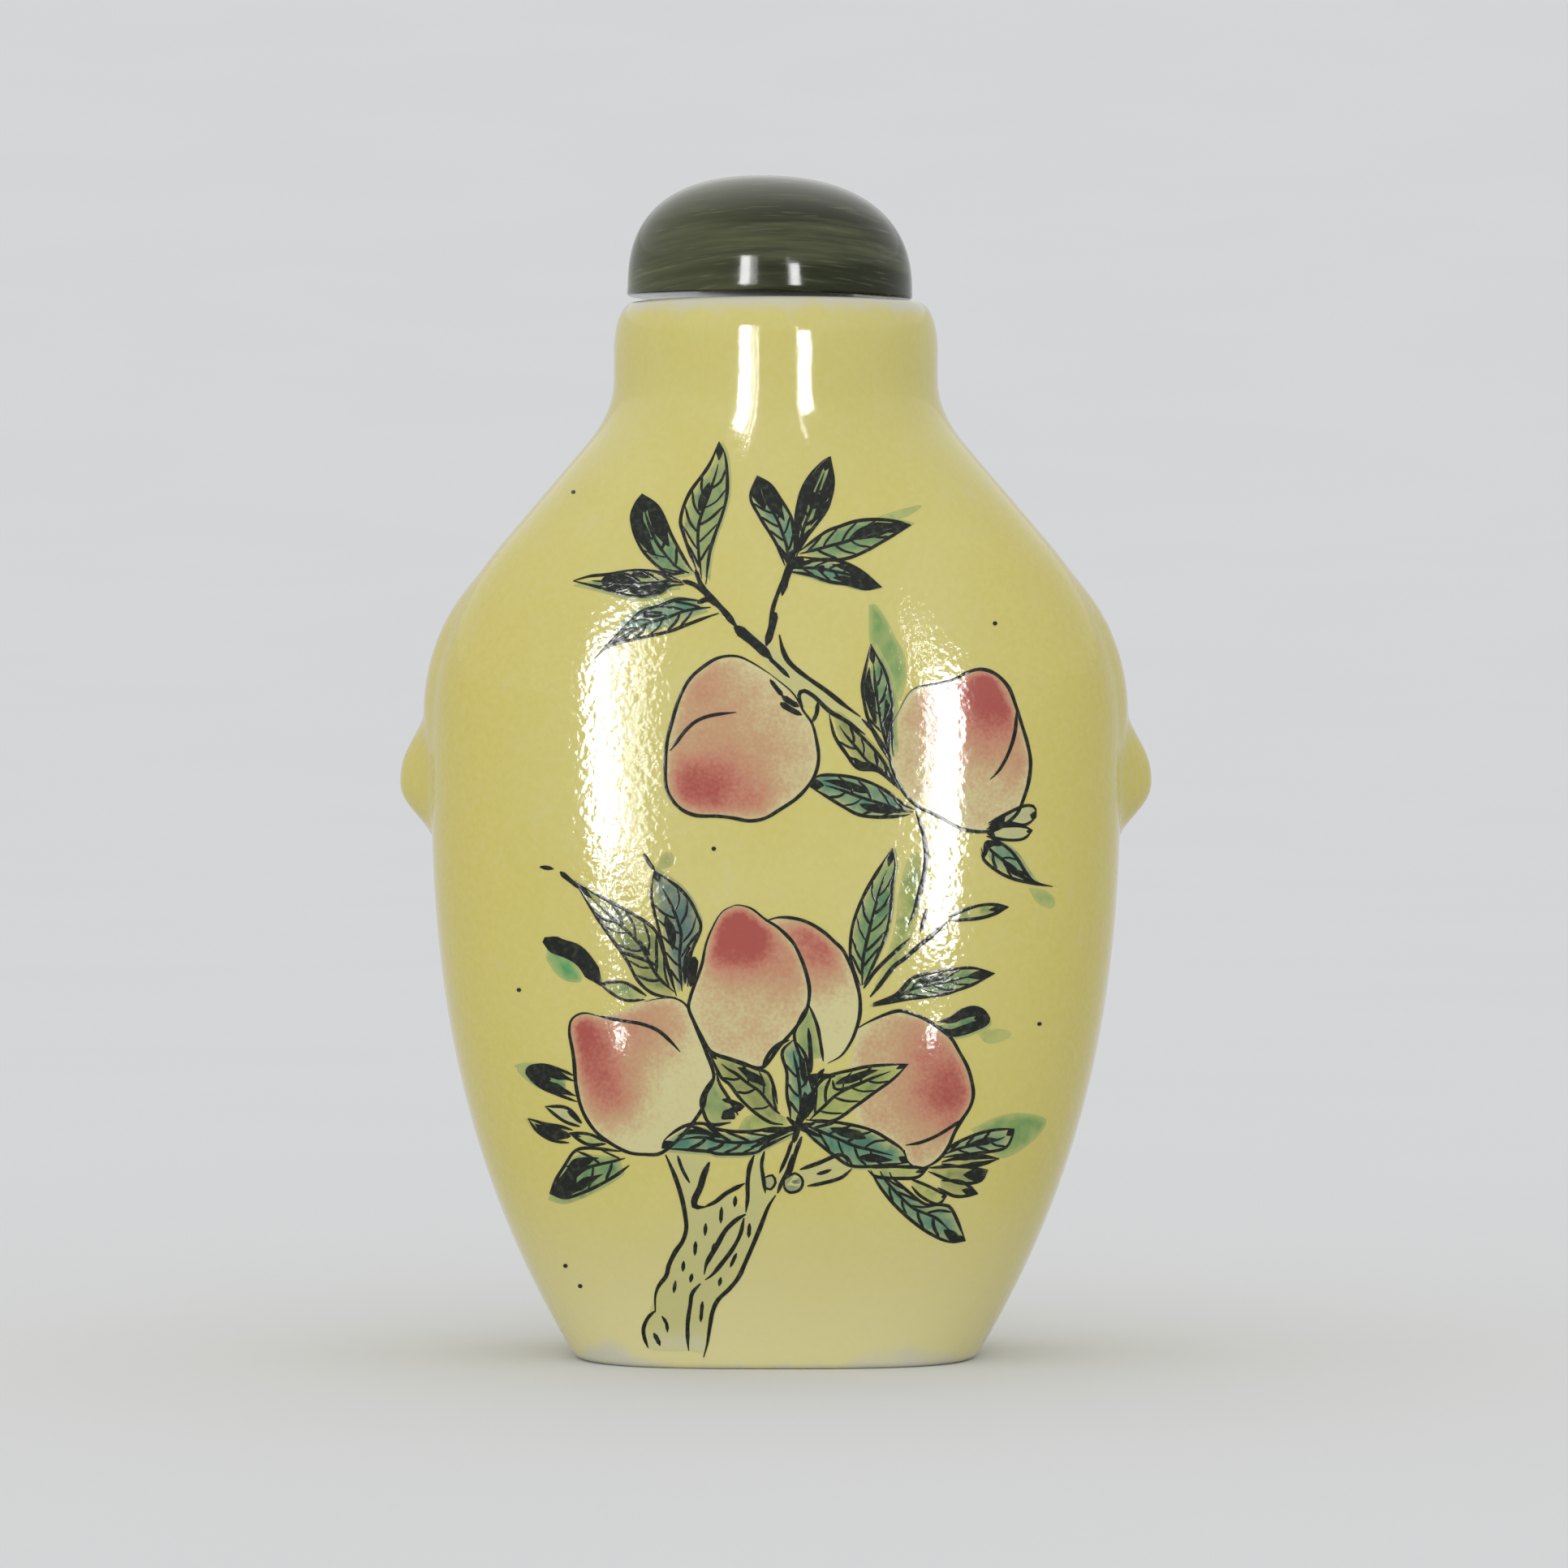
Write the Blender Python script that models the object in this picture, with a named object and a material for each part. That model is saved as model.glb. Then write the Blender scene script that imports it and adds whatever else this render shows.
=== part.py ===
"""A flattened porcelain snuff bottle with a mock handle on each narrow side, and its stopper.

Metres, +Z up. The origin is the middle of the foot's underside. +X runs across the width and
-Y looks out of the painted front. The bottle is one hollow solid, open at the mouth.
"""

import math

import bmesh
import bpy
from mathutils import Matrix, Vector

MM = 0.001

# Outline from the front, half-widths from the upright axis
FOOT_HALF_WIDTH = 11.1 * MM
BELLY_HALF_WIDTH = 19.0 * MM
BELLY_HEIGHT = 34.0 * MM
SHOULDER_TOP_HEIGHT = 52.0 * MM
SHOULDER_SLOPE = 0.845
SHOULDER_ROUND = 4.0 * MM

# Outline from the side, half-depths from the upright axis
FOOT_HALF_DEPTH = 7.4 * MM
FRONT_HALF_DEPTH = 12.7 * MM
FRONT_BELLY_HEIGHT = 22.0 * MM
FRONT_TOP_HEIGHT = 50.0 * MM

# The flanks swell from the foot to the belly by this power law
FLANK_SWELL = 2.6

# Level sections are superellipses, round in the neck and squarer in the body
BODY_SQUARENESS = 3.0
NECK_SQUARENESS = 2.0
SQUARE_BELOW = 43.0 * MM

# Neck and lip
NECK_RADIUS = 8.95 * MM
NECK_FOOT_ROUND = 1.5 * MM
LIP_HEIGHT = 58.0 * MM
LIP_ROUND_WIDTH = 1.0 * MM
LIP_ROUND_HEIGHT = 2.6 * MM
BORE_RADIUS = 4.0 * MM
BORE_EDGE_ROUND = 0.5 * MM

# Foot rim with a shallow recess inside it
FOOT_EDGE_ROUND = 0.35 * MM
FOOT_RIM_WIDTH = 1.6 * MM
FOOT_RECESS = 0.6 * MM
FOOT_RECESS_DRAFT = 0.3 * MM

# Hollow
WALL = 2.4 * MM
FLOOR_THICKNESS = 3.0 * MM
FLOOR_ROUND = 2.5 * MM
BORE_FOOT_HEIGHT = 51.5 * MM
BORE_FOOT_ROUND = 1.6 * MM

# Mock handle on each narrow side, a low brow plate with a knob at its lower end
KNOB_HEIGHT = 31.5 * MM
KNOB_OUT = 1.77 * MM
KNOB_REACH_UP = 4.2 * MM
KNOB_REACH_DOWN = 3.2 * MM
KNOB_HALF_DEPTH = 3.6 * MM
BROW_ABOVE_KNOB = 6.0 * MM
BROW_OUT = 0.42 * MM
BROW_REACH = 6.0 * MM
BROW_HALF_DEPTH = 4.6 * MM

# Stopper, a hand-ground cap over a cork plug
SEAT_GAP = 0.3 * MM
CAP_RADIUS = 7.9 * MM
CAP_HEIGHT = 6.7 * MM
CAP_EDGE_BEVEL = 0.2 * MM
CAP_SIDE_HEIGHT = 0.5 * MM
CAP_ROUNDNESS = 2.4
CAP_OFF_AXIS = -0.35 * MM
CAP_SLANT = math.radians(0.8)
CAP_LEAN = -0.3 * MM
CORK_LENGTH = 5.4 * MM
CORK_TAPER = 0.25 * MM
CORK_BEVEL = 0.3 * MM

# How finely the solids are faceted
RING_SEGMENTS = 64
SIDE_CROWDING = 0.25
CAP_SEGMENTS = 36
CAP_STEPS = 10
CORK_SEGMENTS = 24
ARC_STEPS = 4
MERGE_DISTANCE = 0.001 * MM


def blend_low(a, b, reach):
    """The lower of two values, rounded off where they lie within reach of each other."""
    overlap = max(reach - abs(a - b), 0.0) / reach
    return min(a, b) - overlap * overlap * reach / 4


def blend_high(a, b, reach):
    return -blend_low(-a, -b, reach)


def ease(share):
    share = min(max(share, 0.0), 1.0)
    return share * share * (3 - 2 * share)


def flank(z, foot, belly, belly_height):
    """Half-size of the body from its foot up to the height where it is widest, and the same above."""
    share = min(max(z / belly_height, 0.0), 1.0)
    return foot + (belly - foot) * (1 - (1 - share) ** FLANK_SWELL)


def half_width(z):
    shoulder = NECK_RADIUS + SHOULDER_SLOPE * (SHOULDER_TOP_HEIGHT - z)
    side = flank(z, FOOT_HALF_WIDTH, BELLY_HALF_WIDTH, BELLY_HEIGHT)
    return blend_high(blend_low(side, shoulder, SHOULDER_ROUND), NECK_RADIUS, NECK_FOOT_ROUND)


def half_depth(z):
    """The front leans back in one long curve from its belly to the foot of the neck."""
    front = flank(z, FOOT_HALF_DEPTH, FRONT_HALF_DEPTH, FRONT_BELLY_HEIGHT)
    risen = max(z - FRONT_BELLY_HEIGHT, 0.0) / (FRONT_TOP_HEIGHT - FRONT_BELLY_HEIGHT)
    front -= (FRONT_HALF_DEPTH - NECK_RADIUS) * risen ** 2
    return blend_high(front, NECK_RADIUS, NECK_FOOT_ROUND)


def squareness(z):
    toward_neck = ease((z - SQUARE_BELOW) / (SHOULDER_TOP_HEIGHT - SQUARE_BELOW))
    return BODY_SQUARENESS + (NECK_SQUARENESS - BODY_SQUARENESS) * toward_neck


def swelling(across, up, power):
    """Height of a soft-edged oval swelling, 1 in its middle and 0 from its edge outward."""
    return (1 - min(abs(across) ** power + abs(up) ** power, 1.0)) ** 2


def handle_out(y, z):
    """How far the mock handle stands out of the body's narrow side at this depth and height."""
    reach = KNOB_REACH_UP if z > KNOB_HEIGHT else KNOB_REACH_DOWN
    knob = KNOB_OUT * swelling(y / KNOB_HALF_DEPTH, (z - KNOB_HEIGHT) / reach, 2)
    above = z - KNOB_HEIGHT - BROW_ABOVE_KNOB
    brow = BROW_OUT * swelling(y / BROW_HALF_DEPTH, above / BROW_REACH, 4)
    return knob + brow


def ring_angles():
    """Directions round the axis, closer together at the narrow sides where the handles are."""
    turns = [math.tau * k / RING_SEGMENTS for k in range(RING_SEGMENTS)]
    return [turn - SIDE_CROWDING * math.sin(2 * turn) for turn in turns]


def ring(z, width, depth, power):
    """Points of one level section."""
    points = []
    for angle in ring_angles():
        across, along = math.cos(angle), math.sin(angle)
        reach = (abs(across / width) ** power + abs(along / depth) ** power) ** (-1 / power)
        points.append(Vector((reach * across, reach * along, z)))
    return points


def body_ring(z):
    """One level section of the body's outside, with the handles on its narrow sides."""
    points = ring(z, half_width(z), half_depth(z), squareness(z))
    for point in points:
        if abs(point.x) > abs(point.y):
            point.x += math.copysign(handle_out(point.y, z), point.x)
    return points


def spread(low, high, steps):
    """Heights from low up to just under high."""
    return [low + (high - low) * k / steps for k in range(steps)]


def outer_heights():
    """Levels of the outside, close together over the handles and the shoulder."""
    handle_foot = KNOB_HEIGHT - KNOB_REACH_DOWN
    handle_top = KNOB_HEIGHT + BROW_ABOVE_KNOB + BROW_REACH
    lip_foot = LIP_HEIGHT - LIP_ROUND_HEIGHT
    return (
        spread(FOOT_EDGE_ROUND, handle_foot, 11)
        + spread(handle_foot, handle_top, 15)
        + spread(handle_top, SHOULDER_TOP_HEIGHT, 7)
        + spread(SHOULDER_TOP_HEIGHT, lip_foot, 3)
    )


def foot_rings():
    """The underside, from the middle of the recess out to the rounded edge of the rim."""
    rim_width = FOOT_HALF_WIDTH - FOOT_RIM_WIDTH
    rim_depth = FOOT_HALF_DEPTH - FOOT_RIM_WIDTH
    power = squareness(0)
    rings = [
        ring(FOOT_RECESS, rim_width - FOOT_RECESS_DRAFT, rim_depth - FOOT_RECESS_DRAFT, power),
        ring(0, rim_width, rim_depth, power),
    ]
    for step in range(ARC_STEPS):
        turn = math.pi / 2 * step / ARC_STEPS
        inset = FOOT_EDGE_ROUND * (1 - math.sin(turn))
        rise = FOOT_EDGE_ROUND * (1 - math.cos(turn))
        rings.append(ring(rise, half_width(rise) - inset, half_depth(rise) - inset, power))
    return rings


def lip_rings():
    """Over the rounded lip, from the outside of the neck into the bore."""
    rings = []
    for step in range(ARC_STEPS + 1):
        turn = math.pi / 2 * step / ARC_STEPS
        radius = NECK_RADIUS - LIP_ROUND_WIDTH * (1 - math.cos(turn))
        rings.append(circle(LIP_HEIGHT - LIP_ROUND_HEIGHT * (1 - math.sin(turn)), radius))
    for step in range(ARC_STEPS + 1):
        turn = math.pi / 2 * step / ARC_STEPS
        radius = BORE_RADIUS + BORE_EDGE_ROUND * (1 - math.sin(turn))
        rings.append(circle(LIP_HEIGHT - BORE_EDGE_ROUND * (1 - math.cos(turn)), radius))
    return rings


def circle(z, radius):
    return ring(z, radius, radius, NECK_SQUARENESS)


def hollow_size(z, outside, floor):
    """Half-size of the hollow, the outside less the wall, drawn in to the bore and to the floor."""
    shoulder = BORE_RADIUS + SHOULDER_SLOPE * (BORE_FOOT_HEIGHT - z)
    inside = blend_low(outside - WALL, shoulder, BORE_FOOT_ROUND)
    inside = blend_high(inside, BORE_RADIUS, BORE_FOOT_ROUND)
    up = min((z - floor) / FLOOR_ROUND, 1.0)
    return inside - FLOOR_ROUND * (1 - math.sqrt(up * (2 - up)))


def hollow_rings():
    """The inside, from the foot of the bore down to the floor."""
    floor = FOOT_RECESS + FLOOR_THICKNESS
    shoulder_foot = (BORE_FOOT_HEIGHT + SQUARE_BELOW) / 2
    heights = (
        spread(floor, floor + FLOOR_ROUND, ARC_STEPS)
        + spread(floor + FLOOR_ROUND, BELLY_HEIGHT, 5)
        + spread(BELLY_HEIGHT, shoulder_foot, 4)
        + spread(shoulder_foot, BORE_FOOT_HEIGHT + BORE_FOOT_ROUND, 4)
    )
    rings = []
    for z in reversed(heights):
        width = hollow_size(z, half_width(z), floor)
        depth = hollow_size(z, half_depth(z), floor)
        toward_bore = ease((z - SQUARE_BELOW) / (BORE_FOOT_HEIGHT - SQUARE_BELOW))
        power = BODY_SQUARENESS + (NECK_SQUARENESS - BODY_SQUARENESS) * toward_bore
        rings.append(ring(z, width, depth, power))
    return rings


def loft(name, rings):
    """One closed mesh through a run of rings, with a flat cap at each end."""
    mesh = bmesh.new()
    loops = [[mesh.verts.new(point) for point in points] for points in rings]
    count = len(loops[0])
    for lower, upper in zip(loops, loops[1:]):
        for k in range(count):
            after = (k + 1) % count
            mesh.faces.new((lower[k], lower[after], upper[after], upper[k]))
    mesh.faces.new(reversed(loops[0]))
    mesh.faces.new(loops[-1])
    bmesh.ops.recalc_face_normals(mesh, faces=mesh.faces)
    return finish(name, mesh)


def finish(name, mesh):
    data = bpy.data.meshes.new(name)
    mesh.to_mesh(data)
    mesh.free()
    data.shade_smooth()
    data.set_sharp_from_angle(angle=math.radians(40))
    made = bpy.data.objects.new(name, data)
    bpy.context.scene.collection.objects.link(made)
    return made


def surface(made, name, colour, roughness):
    material = bpy.data.materials.new(name)
    material.use_nodes = True
    shader = material.node_tree.nodes["Principled BSDF"]
    shader.inputs["Base Color"].default_value = (*colour, 1)
    shader.inputs["Roughness"].default_value = roughness
    shader.inputs["Metallic"].default_value = 0.0
    material.diffuse_color = (*colour, 1)
    made.data.materials.append(material)


def make_bottle():
    """The moulded porcelain body, one hollow piece from foot to lip with its two mock handles."""
    rings = foot_rings()
    rings += [body_ring(z) for z in outer_heights()]
    rings += lip_rings()
    rings += hollow_rings()
    bottle = loft("bottle", rings)
    surface(bottle, "yellow_enamel", (0.63, 0.55, 0.19), 0.15)


def make_cap():
    """The low dome of dark green stone, ground by hand and so a little askew."""
    underside = LIP_HEIGHT + SEAT_GAP
    profile = [(0.0, 0.0), (CAP_RADIUS - CAP_EDGE_BEVEL, 0.0), (CAP_RADIUS, CAP_EDGE_BEVEL)]
    dome = CAP_HEIGHT - CAP_SIDE_HEIGHT
    for step in range(CAP_STEPS):
        turn = math.pi / 2 * step / CAP_STEPS
        radius = CAP_RADIUS * math.cos(turn) ** (2 / CAP_ROUNDNESS)
        profile.append((radius, CAP_SIDE_HEIGHT + dome * math.sin(turn) ** (2 / CAP_ROUNDNESS)))
    profile.append((0.0, CAP_HEIGHT))
    mesh = bmesh.new()
    verts = [mesh.verts.new((x, 0, z)) for x, z in profile]
    edges = [mesh.edges.new(pair) for pair in zip(verts, verts[1:])]
    bmesh.ops.spin(
        mesh, geom=verts + edges, cent=(0, 0, 0), axis=(0, 0, 1), angle=math.tau,
        steps=CAP_SEGMENTS, use_merge=True,
    )
    bmesh.ops.remove_doubles(mesh, verts=mesh.verts, dist=MERGE_DISTANCE)
    for vert in mesh.verts:
        vert.co.x += CAP_LEAN * (vert.co.z / CAP_HEIGHT) ** 2
    bmesh.ops.recalc_face_normals(mesh, faces=mesh.faces)
    cap = finish("stopper_cap", mesh)
    cap.location = (CAP_OFF_AXIS, 0, underside)
    cap.rotation_euler.y = CAP_SLANT
    surface(cap, "green_stone", (0.045, 0.052, 0.028), 0.2)


def make_cork():
    """The cork plug under the cap, which holds the stopper in the bore."""
    radius = BORE_RADIUS - SEAT_GAP
    mesh = bmesh.new()
    bmesh.ops.create_cone(
        mesh, cap_ends=True, segments=CORK_SEGMENTS, radius1=radius - CORK_TAPER, radius2=radius,
        depth=CORK_LENGTH,
        matrix=Matrix.Translation((0, 0, LIP_HEIGHT - CORK_LENGTH / 2)),
    )
    ends = [edge for edge in mesh.edges if any(len(face.verts) > 4 for face in edge.link_faces)]
    bmesh.ops.bevel(mesh, geom=ends, offset=CORK_BEVEL, segments=1, affect="EDGES")
    cork = finish("stopper_cork", mesh)
    surface(cork, "cork", (0.42, 0.25, 0.13), 0.9)


for old in list(bpy.data.objects):
    bpy.data.objects.remove(old)
make_bottle()
make_cap()
make_cork()
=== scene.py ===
import math

import bpy
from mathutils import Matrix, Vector, geometry, noise


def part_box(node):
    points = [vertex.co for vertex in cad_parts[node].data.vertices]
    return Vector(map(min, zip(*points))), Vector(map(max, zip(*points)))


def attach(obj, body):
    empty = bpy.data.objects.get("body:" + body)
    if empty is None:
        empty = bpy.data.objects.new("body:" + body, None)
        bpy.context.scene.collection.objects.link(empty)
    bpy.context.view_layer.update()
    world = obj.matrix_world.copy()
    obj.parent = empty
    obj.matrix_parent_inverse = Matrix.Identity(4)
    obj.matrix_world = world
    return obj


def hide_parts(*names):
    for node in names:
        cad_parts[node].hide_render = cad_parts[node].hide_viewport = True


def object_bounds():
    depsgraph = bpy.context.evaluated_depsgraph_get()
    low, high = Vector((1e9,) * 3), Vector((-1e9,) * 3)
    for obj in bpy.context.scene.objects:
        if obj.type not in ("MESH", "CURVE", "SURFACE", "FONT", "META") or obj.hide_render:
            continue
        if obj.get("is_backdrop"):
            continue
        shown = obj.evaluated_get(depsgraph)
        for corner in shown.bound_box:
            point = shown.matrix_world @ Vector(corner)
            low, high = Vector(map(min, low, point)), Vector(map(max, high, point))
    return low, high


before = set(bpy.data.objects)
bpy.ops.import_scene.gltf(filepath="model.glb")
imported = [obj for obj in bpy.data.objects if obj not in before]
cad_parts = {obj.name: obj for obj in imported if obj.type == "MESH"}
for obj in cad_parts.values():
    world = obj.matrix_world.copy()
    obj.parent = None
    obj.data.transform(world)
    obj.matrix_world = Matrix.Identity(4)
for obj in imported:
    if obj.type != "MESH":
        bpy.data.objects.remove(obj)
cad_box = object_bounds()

# Porcelain body of the snuff bottle: a flattened jar moulded in one piece with its two mock handles,
# covered in opaque yellow enamel that runs thin at the lip and the foot, so the white clay shows there.
# Lengths are in millimetres until a mesh is made.
MM = 0.001
FOOT_HALF_WIDTH, BELLY_HALF_WIDTH, BELLY_HEIGHT = 11.1, 19.0, 34.0
FOOT_HALF_DEPTH, FRONT_HALF_DEPTH, FRONT_BELLY_HEIGHT, FRONT_TOP_HEIGHT = 7.4, 12.7, 22.0, 50.0
FLANK_SWELL = 2.6
SHOULDER_TOP_HEIGHT, SHOULDER_SLOPE, SHOULDER_ROUND = 52.0, 0.845, 4.0
BODY_SQUARENESS, NECK_SQUARENESS, SQUARE_BELOW = 3.0, 2.0, 43.0
NECK_RADIUS, NECK_FOOT_ROUND = 8.95, 1.5
LIP_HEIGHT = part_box("bottle")[1].z / MM
LIP_ROUND_WIDTH, LIP_ROUND_HEIGHT = 1.0, 2.6
BORE_RADIUS, BORE_EDGE_ROUND, BORE_FOOT_HEIGHT, BORE_FOOT_ROUND = 4.0, 0.5, 51.5, 1.6
WALL, FLOOR_HEIGHT, FLOOR_ROUND = 2.4, 3.6, 2.5
FOOT_EDGE_ROUND, FOOT_RIM_WIDTH, FOOT_RECESS, FOOT_RECESS_DRAFT = 0.35, 1.6, 0.6, 0.3
KNOB_HEIGHT, KNOB_OUT, KNOB_REACH_UP, KNOB_REACH_DOWN, KNOB_HALF_DEPTH = 31.5, 1.77, 4.2, 3.2, 3.6
BROW_ABOVE_KNOB, BROW_OUT, BROW_REACH, BROW_HALF_DEPTH = 6.0, 0.42, 6.0, 4.6
SEGMENTS, SIDE_CROWDING, RING_STEP, SHARP_ANGLE = 288, 0.25, 0.42, 40
BARE_LIP = 0.55
PEEL_PITCH, PEEL_DEPTH, WAVE_PITCH, WAVE_DEPTH = 0.42, 0.021, 3.2, 0.03


def blend_low(a, b, reach):
    """The lower of two values, rounded off where they lie within reach of each other."""
    overlap = max(reach - abs(a - b), 0.0) / reach
    return min(a, b) - overlap * overlap * reach / 4


def blend_high(a, b, reach):
    return -blend_low(-a, -b, reach)


def clamp(value, low=0.0, high=1.0):
    return min(max(value, low), high)


def ease(share):
    share = clamp(share)
    return share * share * (3 - 2 * share)


def flank(z, foot, belly, belly_height):
    return foot + (belly - foot) * (1 - (1 - clamp(z / belly_height)) ** FLANK_SWELL)


def lip_inset(z):
    """How far the rounded lip has drawn in from the neck at this height."""
    up = clamp((z - LIP_HEIGHT + LIP_ROUND_HEIGHT) / LIP_ROUND_HEIGHT)
    return LIP_ROUND_WIDTH * (1 - math.sqrt(1 - up * up))


def half_width(z):
    shoulder = NECK_RADIUS + SHOULDER_SLOPE * (SHOULDER_TOP_HEIGHT - z)
    side = flank(z, FOOT_HALF_WIDTH, BELLY_HALF_WIDTH, BELLY_HEIGHT)
    return blend_high(blend_low(side, shoulder, SHOULDER_ROUND), NECK_RADIUS, NECK_FOOT_ROUND)


def half_depth(z):
    front = flank(z, FOOT_HALF_DEPTH, FRONT_HALF_DEPTH, FRONT_BELLY_HEIGHT)
    risen = max(z - FRONT_BELLY_HEIGHT, 0.0) / (FRONT_TOP_HEIGHT - FRONT_BELLY_HEIGHT)
    front -= (FRONT_HALF_DEPTH - NECK_RADIUS) * risen ** 2
    return blend_high(front, NECK_RADIUS, NECK_FOOT_ROUND)


def squareness(z, top=SHOULDER_TOP_HEIGHT):
    rounder = ease((z - SQUARE_BELOW) / (top - SQUARE_BELOW))
    return BODY_SQUARENESS + (NECK_SQUARENESS - BODY_SQUARENESS) * rounder


def swelling(across, up, power):
    return (1 - min(abs(across) ** power + abs(up) ** power, 1.0)) ** 2


def handle_out(y, z):
    """The knob at the handle's lower end and the low brow plate above it."""
    reach = KNOB_REACH_UP if z > KNOB_HEIGHT else KNOB_REACH_DOWN
    knob = KNOB_OUT * swelling(y / KNOB_HALF_DEPTH, (z - KNOB_HEIGHT) / reach, 2)
    above = z - KNOB_HEIGHT - BROW_ABOVE_KNOB
    return knob + BROW_OUT * swelling(y / BROW_HALF_DEPTH, above / BROW_REACH, 4)


def ring(z, width, depth, power):
    """Points of one level section, closer together at the narrow sides."""
    points = []
    for k in range(SEGMENTS):
        turn = math.tau * k / SEGMENTS
        angle = turn - SIDE_CROWDING * math.sin(2 * turn)
        across, along = math.cos(angle), math.sin(angle)
        reach = (abs(across / width) ** power + abs(along / depth) ** power) ** (-1 / power)
        points.append(Vector((reach * across, reach * along, z)))
    return points


def outside_ring(z):
    inset = lip_inset(z)
    points = ring(z, half_width(z) - inset, half_depth(z) - inset, squareness(z))
    for point in points:
        if abs(point.x) > abs(point.y):
            point.x += math.copysign(handle_out(point.y, z), point.x)
    return points


def hollow_ring(z):
    shoulder = BORE_RADIUS + SHOULDER_SLOPE * (BORE_FOOT_HEIGHT - z)
    up = min((z - FLOOR_HEIGHT) / FLOOR_ROUND, 1.0)
    drawn_in = FLOOR_ROUND * (1 - math.sqrt(up * (2 - up)))
    sizes = []
    for outside in (half_width(z), half_depth(z)):
        inside = blend_low(outside - WALL, shoulder, BORE_FOOT_ROUND)
        sizes.append(blend_high(inside, BORE_RADIUS, BORE_FOOT_ROUND) - drawn_in)
    return ring(z, *sizes, squareness(z, BORE_FOOT_HEIGHT))


def spread(low, high, steps):
    return [low + (high - low) * k / steps for k in range(steps)]


def foot_rings():
    """The underside, from the middle of the recess out over the rounded edge of the rim."""
    inner_width, inner_depth = FOOT_HALF_WIDTH - FOOT_RIM_WIDTH, FOOT_HALF_DEPTH - FOOT_RIM_WIDTH
    draft = FOOT_RECESS_DRAFT
    rings = []
    for share in (0.05, 0.4, 0.75, 1.0):
        width, depth = (inner_width - draft) * share, (inner_depth - draft) * share
        rings.append(ring(FOOT_RECESS, width, depth, BODY_SQUARENESS))
    rings.append(ring(0.0, inner_width, inner_depth, BODY_SQUARENESS))
    for turn in spread(0.0, math.pi / 2, 6):
        inset = FOOT_EDGE_ROUND * (1 - math.sin(turn))
        rise = FOOT_EDGE_ROUND * (1 - math.cos(turn))
        rings.append(ring(rise, half_width(rise) - inset, half_depth(rise) - inset, BODY_SQUARENESS))
    return rings


def lip_rings():
    """Over the lip from its outside into the bore."""
    lip_foot = LIP_HEIGHT - LIP_ROUND_HEIGHT
    rings = []
    for turn in spread(0.0, math.pi / 2, 12):
        rings.append(outside_ring(lip_foot + LIP_ROUND_HEIGHT * math.sin(turn)))
    top_radius = NECK_RADIUS - LIP_ROUND_WIDTH
    for turn in spread(0.0, math.pi / 2, 6):
        radius = BORE_RADIUS + BORE_EDGE_ROUND * (1 - math.sin(turn))
        if not turn:
            rings += [ring(LIP_HEIGHT, r, r, NECK_SQUARENESS) for r in spread(top_radius, radius, 4)]
        z = LIP_HEIGHT - BORE_EDGE_ROUND * (1 - math.cos(turn))
        rings.append(ring(z, radius, radius, NECK_SQUARENESS))
    return rings


def body_rings():
    """All the rings from the underside over the lip to the inside floor, and how many of them lie outside."""
    outer = spread(FOOT_EDGE_ROUND, LIP_HEIGHT - LIP_ROUND_HEIGHT, round(LIP_HEIGHT / RING_STEP))
    inner = spread(FLOOR_HEIGHT, FLOOR_HEIGHT + FLOOR_ROUND, 8)
    inner += spread(FLOOR_HEIGHT + FLOOR_ROUND, BORE_FOOT_HEIGHT + BORE_FOOT_ROUND, 44)
    rings = foot_rings() + [outside_ring(z) for z in outer] + lip_rings()
    return rings + [hollow_ring(z) for z in reversed(inner)], len(rings)


def linear(hex_code):
    """An sRGB hex colour as linear RGBA."""
    shares = [int(hex_code[k:k + 2], 16) / 255 for k in (0, 2, 4)]
    return (*[s / 12.92 if s <= 0.04045 else ((s + 0.055) / 1.055) ** 2.4 for s in shares], 1.0)


def add(tree, kind, sockets, **settings):
    """One node with its settings. Each socket is set to a value, or linked where it is given an output."""
    made = tree.nodes.new(kind)
    for name, value in settings.items():
        setattr(made, name, value)
    for name, value in sockets.items():
        if isinstance(value, bpy.types.NodeSocket):
            tree.links.new(value, made.inputs[name])
        else:
            made.inputs[name].default_value = value
    return made


def new_material(name, ior, roughness, metallic=0.0):
    """A material with its plain values set. Returns it with its tree and its shader."""
    material = bpy.data.materials.new(name)
    material.use_nodes = True
    shader = material.node_tree.nodes["Principled BSDF"]
    shader.inputs["IOR"].default_value = ior
    shader.inputs["Roughness"].default_value = roughness
    shader.inputs["Metallic"].default_value = metallic
    return material, material.node_tree, shader


def piece(name, points, faces, material, attributes=None):
    """A smooth-shaded object from points in millimetres, with a number on each point for each attribute."""
    mesh = bpy.data.meshes.new(name)
    mesh.from_pydata([Vector(point) * MM for point in points], [], faces)
    for key, values in (attributes or {}).items():
        if isinstance(values[0], float):
            mesh.attributes.new(key, "FLOAT", "POINT").data.foreach_set("value", values)
        else:
            flat = [part for value in values for part in value]
            mesh.attributes.new(key, "FLOAT_COLOR", "POINT").data.foreach_set("color", flat)
    mesh.validate()
    mesh.shade_smooth()
    mesh.set_sharp_from_angle(angle=math.radians(SHARP_ANGLE))
    mesh.materials.append(material)
    made = bpy.data.objects.new(name, mesh)
    bpy.context.scene.collection.objects.link(made)
    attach(made, "root")
    return made


def loft(rings):
    """Points and faces through a run of rings, closed flat at both ends."""
    count = len(rings[0])
    points = [point for level in rings for point in level]
    faces = []
    for low in range(0, len(points) - count, count):
        for k in range(count):
            after = (k + 1) % count
            faces.append((low + k, low + after, low + count + after, low + count + k))
    faces.append(tuple(reversed(range(count))))
    faces.append(tuple(range(len(points) - count, len(points))))
    return points, faces


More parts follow.
